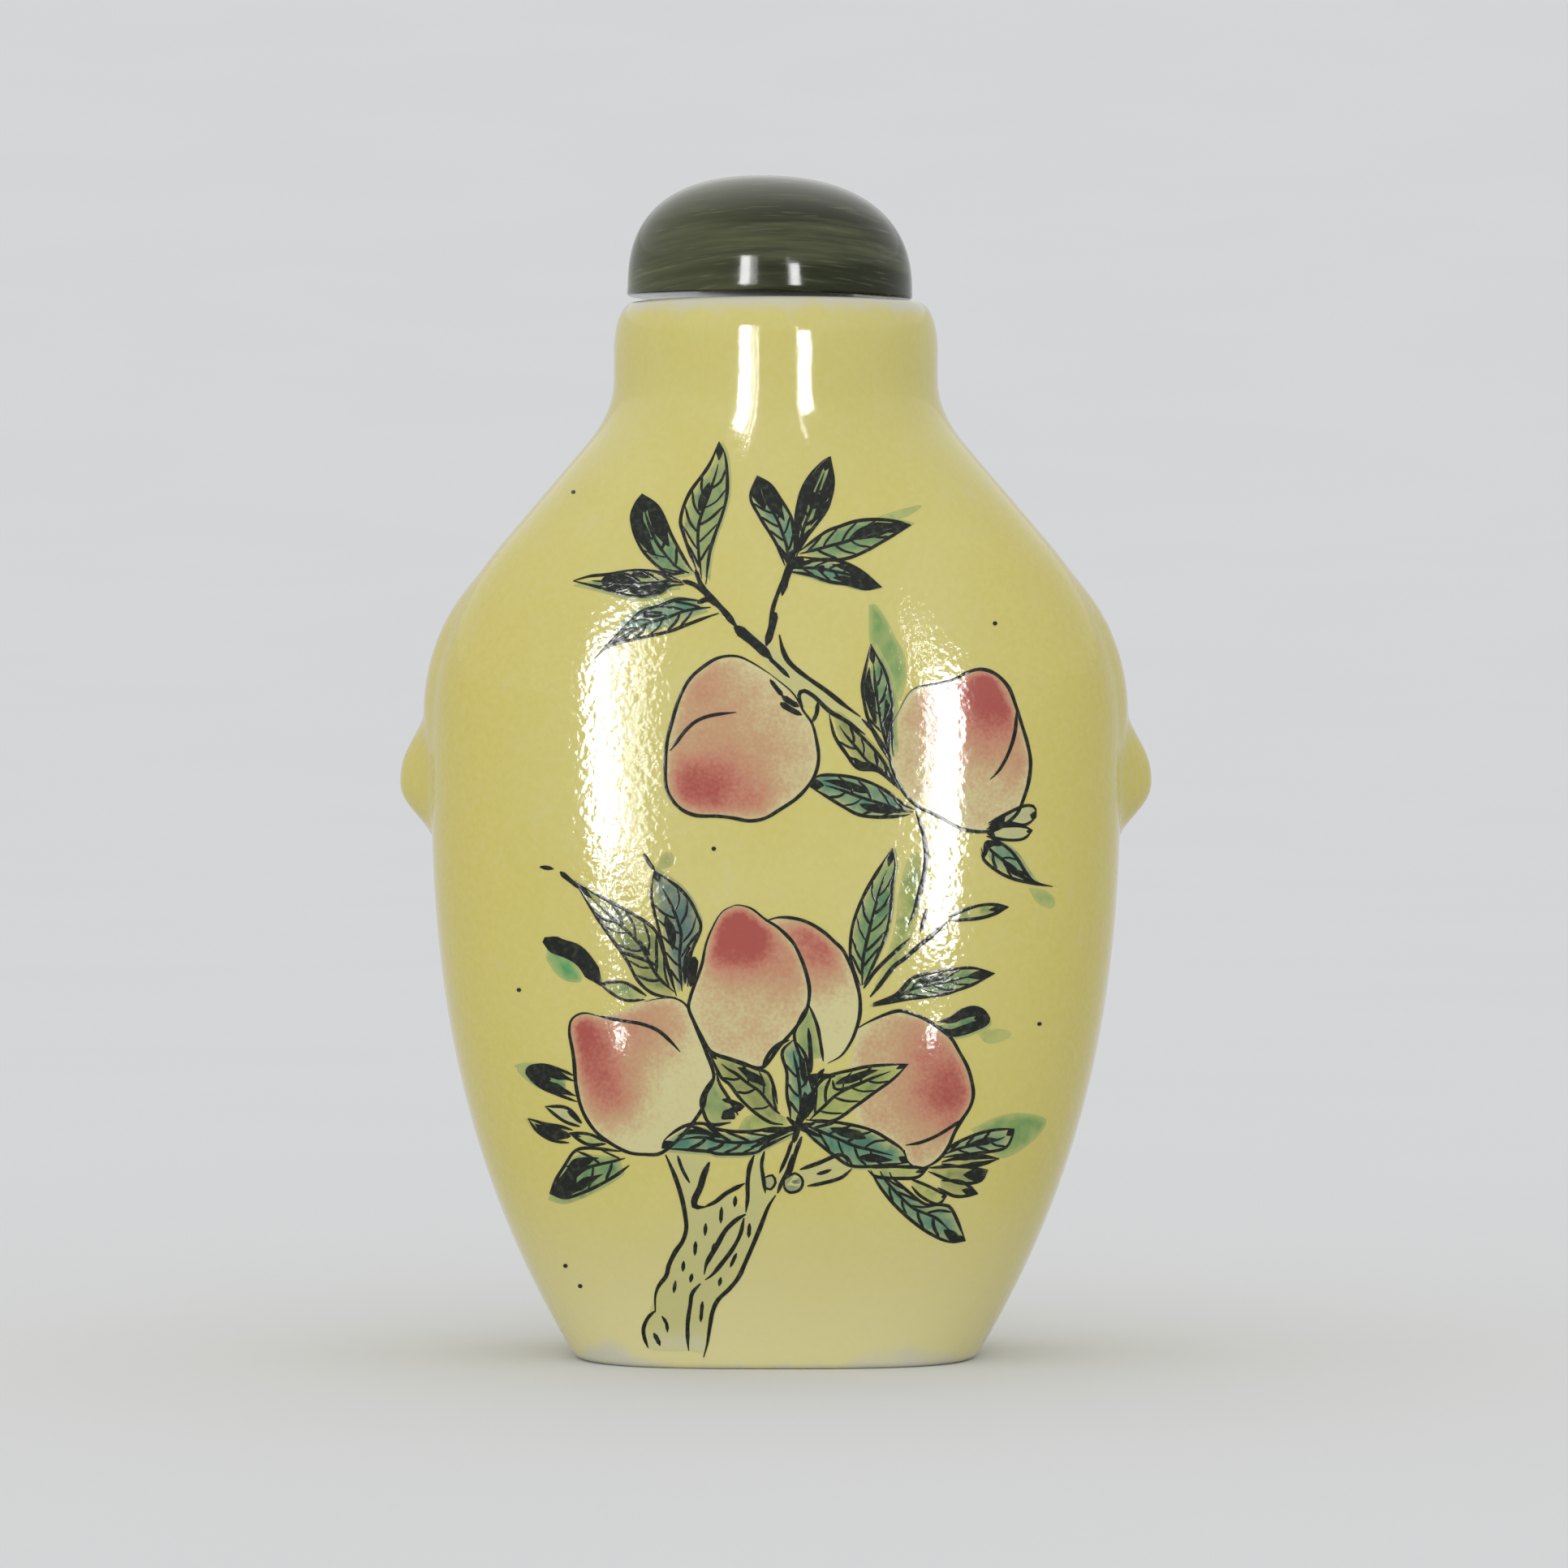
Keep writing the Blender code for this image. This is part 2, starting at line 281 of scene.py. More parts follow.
def bare_height(x, y):
    """How high the white clay shows above the foot: two patches rubbed bare in front, a thin line elsewhere.
    """
    if y > 0:
        return 0.0
    left = 1.3 * math.exp(-((x + 8.9) / 1.5) ** 2)
    right = 0.7 * math.exp(-((x - 7.0) / 3.2) ** 4)
    return left + right


def enamel_cover(point):
    """1 where the yellow is thick, 0 on bare porcelain, for a point of the outside."""
    in_mouth = point.z > BORE_FOOT_HEIGHT and point.xy.length < BORE_RADIUS + BORE_EDGE_ROUND + 0.1
    from_foot = (point.z - bare_height(point.x, point.y)) / 1.4 + 0.5
    from_lip = (LIP_HEIGHT - BARE_LIP - point.z) / 1.2 + 0.5
    return 0.0 if in_mouth else clamp(min(from_foot, from_lip))


def glaze_skin(tree, position, peel_depth):
    """The normal of a fired enamel: fine dimples, fainter up the neck, over slow and longer waves."""
    peel = add(tree, "ShaderNodeTexNoise", {
        "Vector": position, "Scale": 1 / (PEEL_PITCH * MM), "Detail": 1.5})
    waves = add(tree, "ShaderNodeTexNoise", {
        "Vector": position, "Scale": 1 / (WAVE_PITCH * MM), "Detail": 1.0})
    height = add(tree, "ShaderNodeSeparateXYZ", {"Vector": position})
    on_body = add(tree, "ShaderNodeMapRange", {
        "Value": height.outputs["Z"], "From Min": 42 * MM, "From Max": 48 * MM, "To Min": 1.0, "To Max": 0.2})
    low = add(tree, "ShaderNodeBump", {
        "Height": waves.outputs["Fac"], "Strength": 1.0, "Distance": WAVE_DEPTH * MM})
    fine = add(tree, "ShaderNodeBump", {
        "Height": peel.outputs["Fac"], "Strength": on_body.outputs["Result"], "Distance": peel_depth * MM,
        "Normal": low.outputs["Normal"]})
    return fine.outputs["Normal"]


def yellow_enamel():
    """Opaque yellow enamel fired over porcelain: deep gloss, fine dimples, paler where it lies thin."""
    material, tree, shader = new_material("yellow_enamel_glazed", ior=1.5, roughness=0.08)
    place = add(tree, "ShaderNodeTexCoord", {}).outputs["Object"]
    parts = add(tree, "ShaderNodeSeparateXYZ", {"Vector": place})
    off_middle = add(tree, "ShaderNodeMath", {0: parts.outputs["X"]}, operation="ABSOLUTE")
    # A deeper, darker yellow toward the narrow sides: partly the enamel's own tint, partly painted shade
    # where the sides turn away from the light.
    side_tint_and_shade = add(tree, "ShaderNodeMapRange", {
        "Value": off_middle.outputs["Value"], "From Min": 8 * MM, "From Max": 18 * MM},
        interpolation_type="SMOOTHSTEP")
    clouds = add(tree, "ShaderNodeTexNoise", {"Vector": place, "Scale": 1 / (7 * MM), "Detail": 3.0})
    cloudy = add(tree, "ShaderNodeMapRange", {
        "Value": clouds.outputs["Fac"], "From Min": 0.35, "From Max": 0.7})
    laid = add(tree, "ShaderNodeMix", {
        0: cloudy.outputs["Result"], 6: linear("CAC175"), 7: linear("C7BC66")}, data_type="RGBA")
    sided = add(tree, "ShaderNodeMix", {
        0: side_tint_and_shade.outputs["Result"], 6: laid.outputs[2], 7: linear("C6B95F")}, data_type="RGBA")
    to_foot = add(tree, "ShaderNodeMapRange", {
        "Value": parts.outputs["Z"], "From Min": 12 * MM, "From Max": 1 * MM, "To Min": 0.0, "To Max": 0.7},
        interpolation_type="SMOOTHSTEP")
    thinned = add(tree, "ShaderNodeMix", {
        0: to_foot.outputs["Result"], 6: sided.outputs[2], 7: linear("D6CF9E")}, data_type="RGBA")
    grains = add(tree, "ShaderNodeTexNoise", {"Vector": place, "Scale": 1 / (0.35 * MM), "Detail": 2.0})
    grainy = add(tree, "ShaderNodeMapRange", {
        "Value": grains.outputs["Fac"], "From Min": 0.35, "From Max": 0.75, "To Min": 0.0, "To Max": 0.22})
    grained = add(tree, "ShaderNodeMix", {
        0: grainy.outputs["Result"], 6: thinned.outputs[2], 7: linear("D5CB8C")}, data_type="RGBA")
    cover = add(tree, "ShaderNodeAttribute", {}, attribute_name="cover").outputs["Fac"]
    ragged = add(tree, "ShaderNodeTexNoise", {"Vector": place, "Scale": 1 / (1.5 * MM), "Detail": 3.0})
    edge = add(tree, "ShaderNodeMath", {0: cover, 1: ragged.outputs["Fac"]}, operation="ADD")
    thick = add(tree, "ShaderNodeMapRange", {
        "Value": edge.outputs["Value"], "From Min": 0.55, "From Max": 1.45}, interpolation_type="SMOOTHSTEP")
    colour = add(tree, "ShaderNodeMix", {
        0: thick.outputs["Result"], 6: linear("C3C1AD"), 7: grained.outputs[2]}, data_type="RGBA")
    tree.links.new(colour.outputs[2], shader.inputs["Base Color"])
    gloss = add(tree, "ShaderNodeMapRange", {
        "Value": grains.outputs["Fac"], "To Min": 0.04, "To Max": 0.12})
    tree.links.new(gloss.outputs["Result"], shader.inputs["Roughness"])
    tree.links.new(glaze_skin(tree, place, PEEL_DEPTH), shader.inputs["Normal"])
    return material


rings, outside_count = body_rings()
points, faces = loft(rings)
outside_points = outside_count * SEGMENTS
cover = [enamel_cover(point) if k < outside_points else 0.0 for k, point in enumerate(points)]
body = piece("porcelain_body", points, faces, yellow_enamel(), {"cover": cover})
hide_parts("bottle")

# Peaches of the painted branch: six fruits in opaque pink and cream enamel, stippled on with a soft brush
# and fired on the yellow, so each lies a few hundredths of a millimetre proud of it.
FILM_SUNK, FILM_GRID, PEACH_RISE, PEACH_RISE_STEP, PEACH_PEEL_DEPTH = 0.05, 0.42, 0.012, 0.0008, 0.009


def surface_depth(x, z):
    """Where the front lies behind the point (x, z), as a y that is negative toward the viewer."""
    power, inset = squareness(z), lip_inset(z)
    across = min(abs(x) / (half_width(z) - inset), 1.0) ** power
    return -(half_depth(z) - inset) * (1 - across) ** (1 / power)


def drape(x, z, rise, back=False):
    """A point of the painting at this height over the glaze, on the front or turned round to the back."""
    y = surface_depth(x, z) - rise
    return Vector((-x, -y, z)) if back else Vector((x, y, z))


def curve(knots, step=0.22):
    """A smooth line through the knots, with evenly spaced points."""
    knots = [Vector(knot) for knot in knots]
    if len(knots) < 3:
        dense = [knots[0].lerp(knots[-1], k / 20) for k in range(21)]
    else:
        ends = [2 * knots[0] - knots[1], *knots, 2 * knots[-1] - knots[-2]]
        dense = []
        for a, b, c, d in zip(ends, ends[1:], ends[2:], ends[3:]):
            for t in spread(0.0, 1.0, 12):
                dense.append(0.5 * (2 * b + (c - a) * t + (2 * a - 5 * b + 4 * c - d) * t * t
                                    + (3 * b - a - 3 * c + d) * t ** 3))
        dense.append(knots[-1])
    run = [0.0]
    for a, b in zip(dense, dense[1:]):
        run.append(run[-1] + (b - a).length)
    count = max(round(run[-1] / step), 3)
    made, at = [], 0
    for k in range(count + 1):
        wanted = run[-1] * k / count
        while at < len(run) - 2 and run[at + 1] < wanted:
            at += 1
        share = (wanted - run[at]) / max(run[at + 1] - run[at], 1e-9)
        made.append(dense[at].lerp(dense[at + 1], clamp(share)))
    return made


def inside(point, outline):
    hit = False
    for a, b in zip(outline, outline[1:] + outline[:1]):
        if (a.y > point.y) != (b.y > point.y):
            if point.x < (b.x - a.x) * (point.y - a.y) / (b.y - a.y) + a.x:
                hit = not hit
    return hit


def edge_distance(point, outline):
    best = 99.0
    for a, b in zip(outline, outline[1:] + outline[:1]):
        along = b - a
        share = clamp((point - a).dot(along) / max(along.length_squared, 1e-12))
        best = min(best, (a + along * share - point).length)
    return best


def film(batch, outline, rise, back, values):
    """Adds one closed skin of enamel to the batch: its outline filled, draped on the glaze and sunk into it.

    values gives the attributes of a point from its place and its distance from the skin's edge.
    """
    outline = [p for p, q in zip(outline, outline[1:] + outline[:1]) if (p - q).length > 0.02]
    low_x, high_x = min(p.x for p in outline), max(p.x for p in outline)
    low_z, high_z = min(p.y for p in outline), max(p.y for p in outline)
    fill, row = [], 0
    z = low_z + FILM_GRID / 2
    while z < high_z:
        x = low_x + FILM_GRID / 2 * (row % 2)
        while x < high_x:
            point = Vector((x, z))
            if inside(point, outline) and edge_distance(point, outline) > FILM_GRID * 0.45:
                fill.append(point)
            x += FILM_GRID
        z += FILM_GRID * 0.866
        row += 1
    flat = geometry.delaunay_2d_cdt(outline + fill, [], [list(range(len(outline)))], 1, 1e-5)
    verts, triangles = flat[0], [tri for tri in flat[2] if len(tri) == 3]
    start, count = len(batch["points"]), len(verts)
    for sunk in (False, True):
        for vert in verts:
            batch["points"].append(drape(vert.x, vert.y, -FILM_SUNK if sunk else rise, back))
            for key, value in values(vert, edge_distance(vert, outline)).items():
                batch.setdefault(key, []).append(value)
    used = {}
    for tri in triangles:
        a, b, c = (verts[k] for k in tri)
        if (b - a).cross(c - a) < 0:
            tri = tri[::-1]
        batch["faces"].append(tuple(start + k for k in tri))
        batch["faces"].append(tuple(start + count + k for k in reversed(tri)))
        for p, q in zip(tri, (*tri[1:], tri[0])):
            used[(p, q)] = True
    for p, q in used:
        if (q, p) not in used:
            batch["faces"].append((start + q, start + p, start + count + p, start + count + q))


def new_batch():
    return {"points": [], "faces": []}


def batch_piece(name, batch, material):
    points, faces = batch.pop("points"), batch.pop("faces")
    made = piece(name, points, faces, material, batch)
    return made


# Each fruit: its outline, how many points of it are inked, its crease, how pink it is all over, and its
# blushes as (x, z, radius, strength).
PEACHES = {
    "upper_left": (
        ((-0.3, 37.6), (-1.25, 38.2), (-2.1, 38.55), (-3.1, 38.45), (-4.05, 37.85), (-4.65, 37.25),
         (-5.15, 36.3), (-5.5, 35.2), (-5.8, 34), (-5.9, 32.6), (-5.8, 31.4), (-5.2, 30.5), (-4.3, 30.05),
         (-3.1, 30.0), (-2.25, 29.9), (-1.4, 29.75), (-0.55, 29.9), (0.3, 30.4), (1.05, 30.9), (1.65, 31.5),
         (2.1, 32.2), (2.3, 33.05), (2.2, 34), (1.95, 34.95), (1.5, 35.6), (0.9, 36.6), (-0.3, 37.6)),
        27,
        ((-5.65, 33.5), (-5.25, 34), (-4.8, 34.6), (-4.2, 35.1), (-3.35, 35.4), (-2.1, 35.55)),
        0.16,
        ((-4.4, 31.7, 1.5, 0.7), (-3.0, 31.2, 1.3, 0.5), (-1.2, 30.9, 0.9, 0.35),
         (-2.4, 32.8, 2.6, 0.35), (-3.9, 36.9, 1.6, 0.35))),
    "upper_right": (
        ((6.55, 35.5), (6.2, 34.8), (6.1, 34.1), (6.1, 33.1), (6.4, 32.1), (6.9, 31.2), (7.65, 30.5),
         (8.7, 30), (10, 29.3), (11.25, 29.15), (12.1, 29.4), (12.95, 30.1), (13.35, 31), (13.6, 31.85),
         (13.7, 32.85), (13.55, 33.8), (13.25, 34.8), (12.9, 35.9), (12.5, 36.9), (11.8, 37.6), (11, 37.85),
         (10.2, 37.65), (9.55, 37.3), (8.5, 37.05), (7.65, 36.9), (7.1, 36.5), (6.55, 35.5)),
        27,
        ((12.95, 35.6), (12.85, 34.45), (12.5, 33.35), (12, 32.45), (11.5, 31.95)),
        0.16,
        ((11.4, 36.9, 1.7, 0.92), (12.2, 35.4, 1.4, 0.5), (10.5, 34.8, 2.3, 0.4),
         (8.9, 36.5, 0.9, 0.35), (13.2, 32.6, 0.8, 0.3))),
    "middle_behind": (
        ((-0.55, 24.4), (0.15, 24.6), (1, 24.55), (1.8, 24.3), (2.6, 23.8), (3.2, 23.25), (3.6, 22.85),
         (4, 22.05), (4.3, 21.2), (4.5, 20.35), (4.5, 19.4), (4.3, 18.6), (4, 17.9), (3.5, 17.2),
         (2.8, 16.8), (1.9, 17.2), (1.0, 19.0), (0.6, 21.5), (-0.55, 24.4)),
        15,
        (),
        0.04,
        ((1.6, 23.6, 1.3, 0.7), (2.9, 22.7, 1.1, 0.5), (2.3, 21.7, 1.5, 0.3))),
    "middle": (
        ((-2.2, 25.25), (-1.85, 25.25), (-1.25, 25.05), (-0.55, 24.5), (0.15, 24.05), (0.9, 23.3),
         (1.3, 22.55), (1.6, 21.75), (1.8, 20.85), (1.75, 20), (1.5, 19.3), (0.9, 18.5), (0.2, 17.7),
         (-0.65, 16.6), (-1.55, 16.7), (-2.45, 17), (-3.15, 17.25), (-3.55, 17.5), (-3.95, 18.2),
         (-4.35, 19), (-4.65, 19.75), (-4.55, 20.35), (-4.35, 20.95), (-3.95, 22.05), (-3.65, 23.4),
         (-2.95, 24.8), (-2.2, 25.25)),
        27,
        (),
        0.22,
        ((-2.4, 24.2, 1.5, 0.92), (-1.4, 23.4, 1.5, 0.88), (-2.6, 22.8, 1.2, 0.5), (0.6, 21.9, 1.2, 0.35))),
    "lower_left": (
        ((-9.45, 19.3), (-10.2, 19.45), (-10.7, 19.3), (-11, 18.95), (-11.05, 18.3), (-10.9, 17.5),
         (-10.8, 16.75), (-10.75, 15.95), (-10.65, 15.2), (-10.45, 14.4), (-10.1, 13.65), (-9.55, 12.95),
         (-8.8, 12.4), (-7.9, 11.95), (-7, 11.85), (-6.1, 11.95), (-5.0, 12.9), (-3.95, 14.3), (-3.7, 15.2),
         (-3.3, 16.1), (-3.75, 17.5), (-4.3, 18.8), (-4.65, 19.7), (-5, 20.1), (-5.55, 20.3), (-6.3, 20.25),
         (-7, 20.1), (-8.2, 19.6), (-9.45, 19.3)),
        27,
        ((-9.45, 19.3), (-8.45, 19.1), (-7.2, 18.9), (-6.3, 18.55), (-5.65, 18), (-5.1, 17.4)),
        0.04,
        ((-10.4, 18.3, 1.4, 0.85), (-10.0, 16.6, 1.3, 0.55), (-8.9, 14.9, 1.4, 0.6),
         (-8.6, 17.2, 2.0, 0.35), (-6.7, 19.1, 1.8, 0.4))),
    "lower_right": (
        ((4.35, 18.65), (4.95, 19), (5.85, 19.4), (6.6, 19.6), (7.25, 19.45), (8, 19.15), (8.75, 18.65),
         (9.4, 18.1), (9.85, 17.35), (10.3, 16.5), (10.55, 15.6), (10.6, 14.95), (10.4, 14.3), (10, 13.7),
         (9.6, 13.0), (9.3, 12.3), (8.85, 11.65), (8.2, 11.2), (7.6, 11.1), (7.1, 11.45), (6.9, 12.1),
         (6.4, 12.5), (5.2, 13.0), (4.4, 13.6), (4.0, 15.5), (4.1, 17.2), (4.35, 18.65)),
        21,
        ((10, 13.7), (9.4, 13.3), (8.65, 12.85), (7.8, 12.5), (6.95, 12.35)),
        0.24,
        ((9.5, 15.3, 1.6, 0.75), (8.3, 18.1, 1.6, 0.4), (8.3, 15.4, 2.0, 0.3), (10.0, 13.1, 0.8, 0.5))),
}


def peach_enamel():
    """Opaque cream enamel with pink and red stippled over it while wet: soft edges, a fine grain of dots."""
    material, tree, shader = new_material("peach_enamel_stippled", ior=1.5, roughness=0.08)
    place = add(tree, "ShaderNodeTexCoord", {}).outputs["Object"]
    blush = add(tree, "ShaderNodeAttribute", {}, attribute_name="blush").outputs["Fac"]
    dots = add(tree, "ShaderNodeTexNoise", {"Vector": place, "Scale": 1 / (0.2 * MM), "Detail": 2.0})
    drifts = add(tree, "ShaderNodeTexNoise", {"Vector": place, "Scale": 1 / (1.1 * MM), "Detail": 2.0})
    dotted = add(tree, "ShaderNodeMapRange", {
        "Value": dots.outputs["Fac"], "From Min": 0.3, "From Max": 0.7, "To Min": -0.07, "To Max": 0.07})
    drifted = add(tree, "ShaderNodeMapRange", {
        "Value": drifts.outputs["Fac"], "From Min": 0.3, "From Max": 0.7, "To Min": -0.05, "To Max": 0.05})
    grain = add(tree, "ShaderNodeMath", {
        0: dotted.outputs["Result"], 1: drifted.outputs["Result"]}, operation="ADD")
    load = add(tree, "ShaderNodeMath", {0: blush, 1: grain.outputs["Value"]}, operation="ADD")
    colour = linear("CBC48F")
    for low, high, tone in ((0.03, 0.38, "BE9A72"), (0.3, 0.7, "B97660"), (0.58, 0.9, "A34C42")):
        share = add(tree, "ShaderNodeMapRange", {
            "Value": load.outputs["Value"], "From Min": low, "From Max": high},
            interpolation_type="SMOOTHSTEP")
        layer = add(tree, "ShaderNodeMix", {
            0: share.outputs["Result"], 6: colour, 7: linear(tone)}, data_type="RGBA")
        colour = layer.outputs[2]
    tree.links.new(colour, shader.inputs["Base Color"])
    tree.links.new(glaze_skin(tree, place, PEACH_PEEL_DEPTH), shader.inputs["Normal"])
    return material


def blush_at(base, blushes):
    """Gives how much red lies at a point, from soft round touches of the brush that leave a pale rim."""
    def values(point, from_edge):
        pale = 1 - base
        for x, z, radius, strength in blushes:
            pale *= 1 - strength * math.exp(-((point.x - x) ** 2 + (point.y - z) ** 2) / radius ** 2 * 0.8)
        return {"blush": (1 - pale) * (0.35 + 0.65 * ease(from_edge / 0.5))}
    return values


def mirrored(knots, shift):
    """The same brush line reversed left to right and moved, for the plainer painting on the back."""
    return [(-x + shift[0], z + shift[1]) for x, z in knots]


BACK_SHIFT = (-1.5, -4.5)
peach_front, peach_back = new_batch(), new_batch()
for number, (outline, inked, crease, base, blushes) in enumerate(PEACHES.values()):
    rise = PEACH_RISE + PEACH_RISE_STEP * number
    film(peach_front, curve(outline)[:-1], rise, False, blush_at(base, blushes))
outline, inked, crease, base, blushes = PEACHES["upper_left"]
turned = [(-x + BACK_SHIFT[0], z + BACK_SHIFT[1], radius, strength) for x, z, radius, strength in blushes]
film(peach_back, curve(mirrored(outline, BACK_SHIFT))[:-1], PEACH_RISE, True, blush_at(base, turned))
pink = peach_enamel()
batch_piece("painted_peaches", peach_front, pink)
batch_piece("painted_peach_back", peach_back, pink)

# Leaves and bark of the painted branch: thin transparent green washes over the yellow, laid a little
# out of register with their outlines, some teal, some olive.
LEAF_RISE, LEAF_RISE_STEP = 0.018, 0.0002
TINTS = {
    "olive": "7C8449", "green": "5C8557", "teal": "4C8069", "slate": "566F68", "bright": "6E9350",
    "lime": "929E55", "grass": "4F9458", "bark": "BBB87C", "sage": "7C9159", "pale": "A9AD86",
}
# Each leaf: tint, how far its wash slipped, its dark touches as shares of the leaf (from, to along it, then
# from, to across it), and its two edges from stem to tip.
UPPER_LEAVES = (
    ("sage", (0.2, 0), ((0.5, 0.72, 0.28, 0.52), (0.88, 1, 0, 1)),
     ((-4.2, 43), (-4.95, 45.1), (-5.1, 46), (-4.65, 47.3), (-3.6, 48.8), (-3.05, 50.1)),
     ((-3.75, 42.4), (-3.5, 44.3), (-2.8, 46.4), (-2.6, 47.6), (-2.7, 49.25), (-3.05, 50.1))),
    ("green", (0.1, -0.2), ((0.3, 1, 0, 0.4), (0.36, 0.97, 0.55, 1), (0.8, 1, 0, 1)),
     ((-4.9, 43), (-5.9, 43.05), (-7.2, 44.3), (-7.75, 45.8), (-7.6, 46.7), (-7.2, 47.3)),
     ((-4.35, 43), (-4.75, 43.5), (-5.6, 45.05), (-6.3, 46.55), (-7.2, 47.3))),
    ("green", (0, -0.25), ((0.42, 0.78, 0, 1), (0.1, 0.5, 0.55, 1), (0.25, 0.45, 0, 0.3)),
     ((-5.05, 42.55), (-6.3, 43.05), (-7.6, 43.15), (-8.95, 42.95), (-10, 42.85), (-10.9, 42.6)),
     ((-4.9, 42.4), (-5.7, 42.3), (-6.3, 41.9), (-7.2, 41.75), (-8.15, 41.85), (-9.1, 42.15), (-10.9, 42.6))),
    ("teal", (-0.35, 0.15), ((0.72, 1, 0, 1), (0.35, 0.5, 0.1, 0.4)),
     ((-3.9, 41.5), (-5.2, 41.6), (-6.1, 41.3), (-7.05, 41), (-7.6, 40.6), (-8.6, 39.55), (-9.75, 38.4)),
     ((-3.05, 40.85), (-3.8, 40.6), (-4.85, 40.2), (-5.8, 39.85), (-7.4, 39.5), (-8.9, 39.1), (-9.75, 38.4))),
    ("teal", (0.1, 0), ((0.45, 1, 0.45, 1), (0.62, 1, 0, 0.6), (0, 0.16, 0, 1)),
     ((0.5, 43.4), (0.1, 44.45), (-0.4, 45.3), (-0.95, 46.2), (-1.35, 47.1), (-1.0, 48.25)),
     ((0.9, 43.5), (1.05, 44.4), (0.95, 45.3), (0.8, 46.1), (0.25, 47), (-0.3, 47.8), (-1, 48.25))),
    ("sage", (0, 0), ((0.1, 1, 0, 0.38), (0.3, 0.97, 0.62, 1), (0.5, 0.66, 0.2, 0.8), (0.86, 1, 0, 1)),
     ((0.9, 43.9), (1.15, 44.65), (1.1, 46.1), (1.5, 47.7), (2.4, 48.9), (2.95, 49.3)),
     ((1.1, 43.9), (1.7, 45), (2.65, 46.25), (2.95, 47), (3.1, 48), (2.95, 49.3))),
    ("green", (0.2, 0.1), ((0.48, 0.98, 0.12, 0.72), (0.75, 1, 0, 1)),
     ((1.3, 44.2), (2.65, 45.2), (3.4, 45.5), (4.3, 45.8), (5.4, 45.9), (6.55, 45.8), (7.3, 45.6)),
     ((1.3, 43.9), (2.7, 43.7), (3.85, 43.8), (4.85, 44.2), (5.65, 44.65), (6.4, 45.1), (7.3, 45.6))),
    ("teal", (-0.2, -0.1), ((0.42, 1, 0, 0.42), (0.46, 0.95, 0.58, 1), (0.78, 1, 0, 1), (0.3, 0.4, 0.3, 0.7)),
     ((0.8, 43.45), (1.3, 43.55), (2.75, 43.75), (3.6, 43.6), (4.3, 43.3), (4.95, 42.85), (5.7, 42.25)),
     ((0.7, 43.1), (1.85, 42.9), (2.85, 42.55), (3.85, 42.4), (4.85, 42.15), (5.7, 42.25))),
)
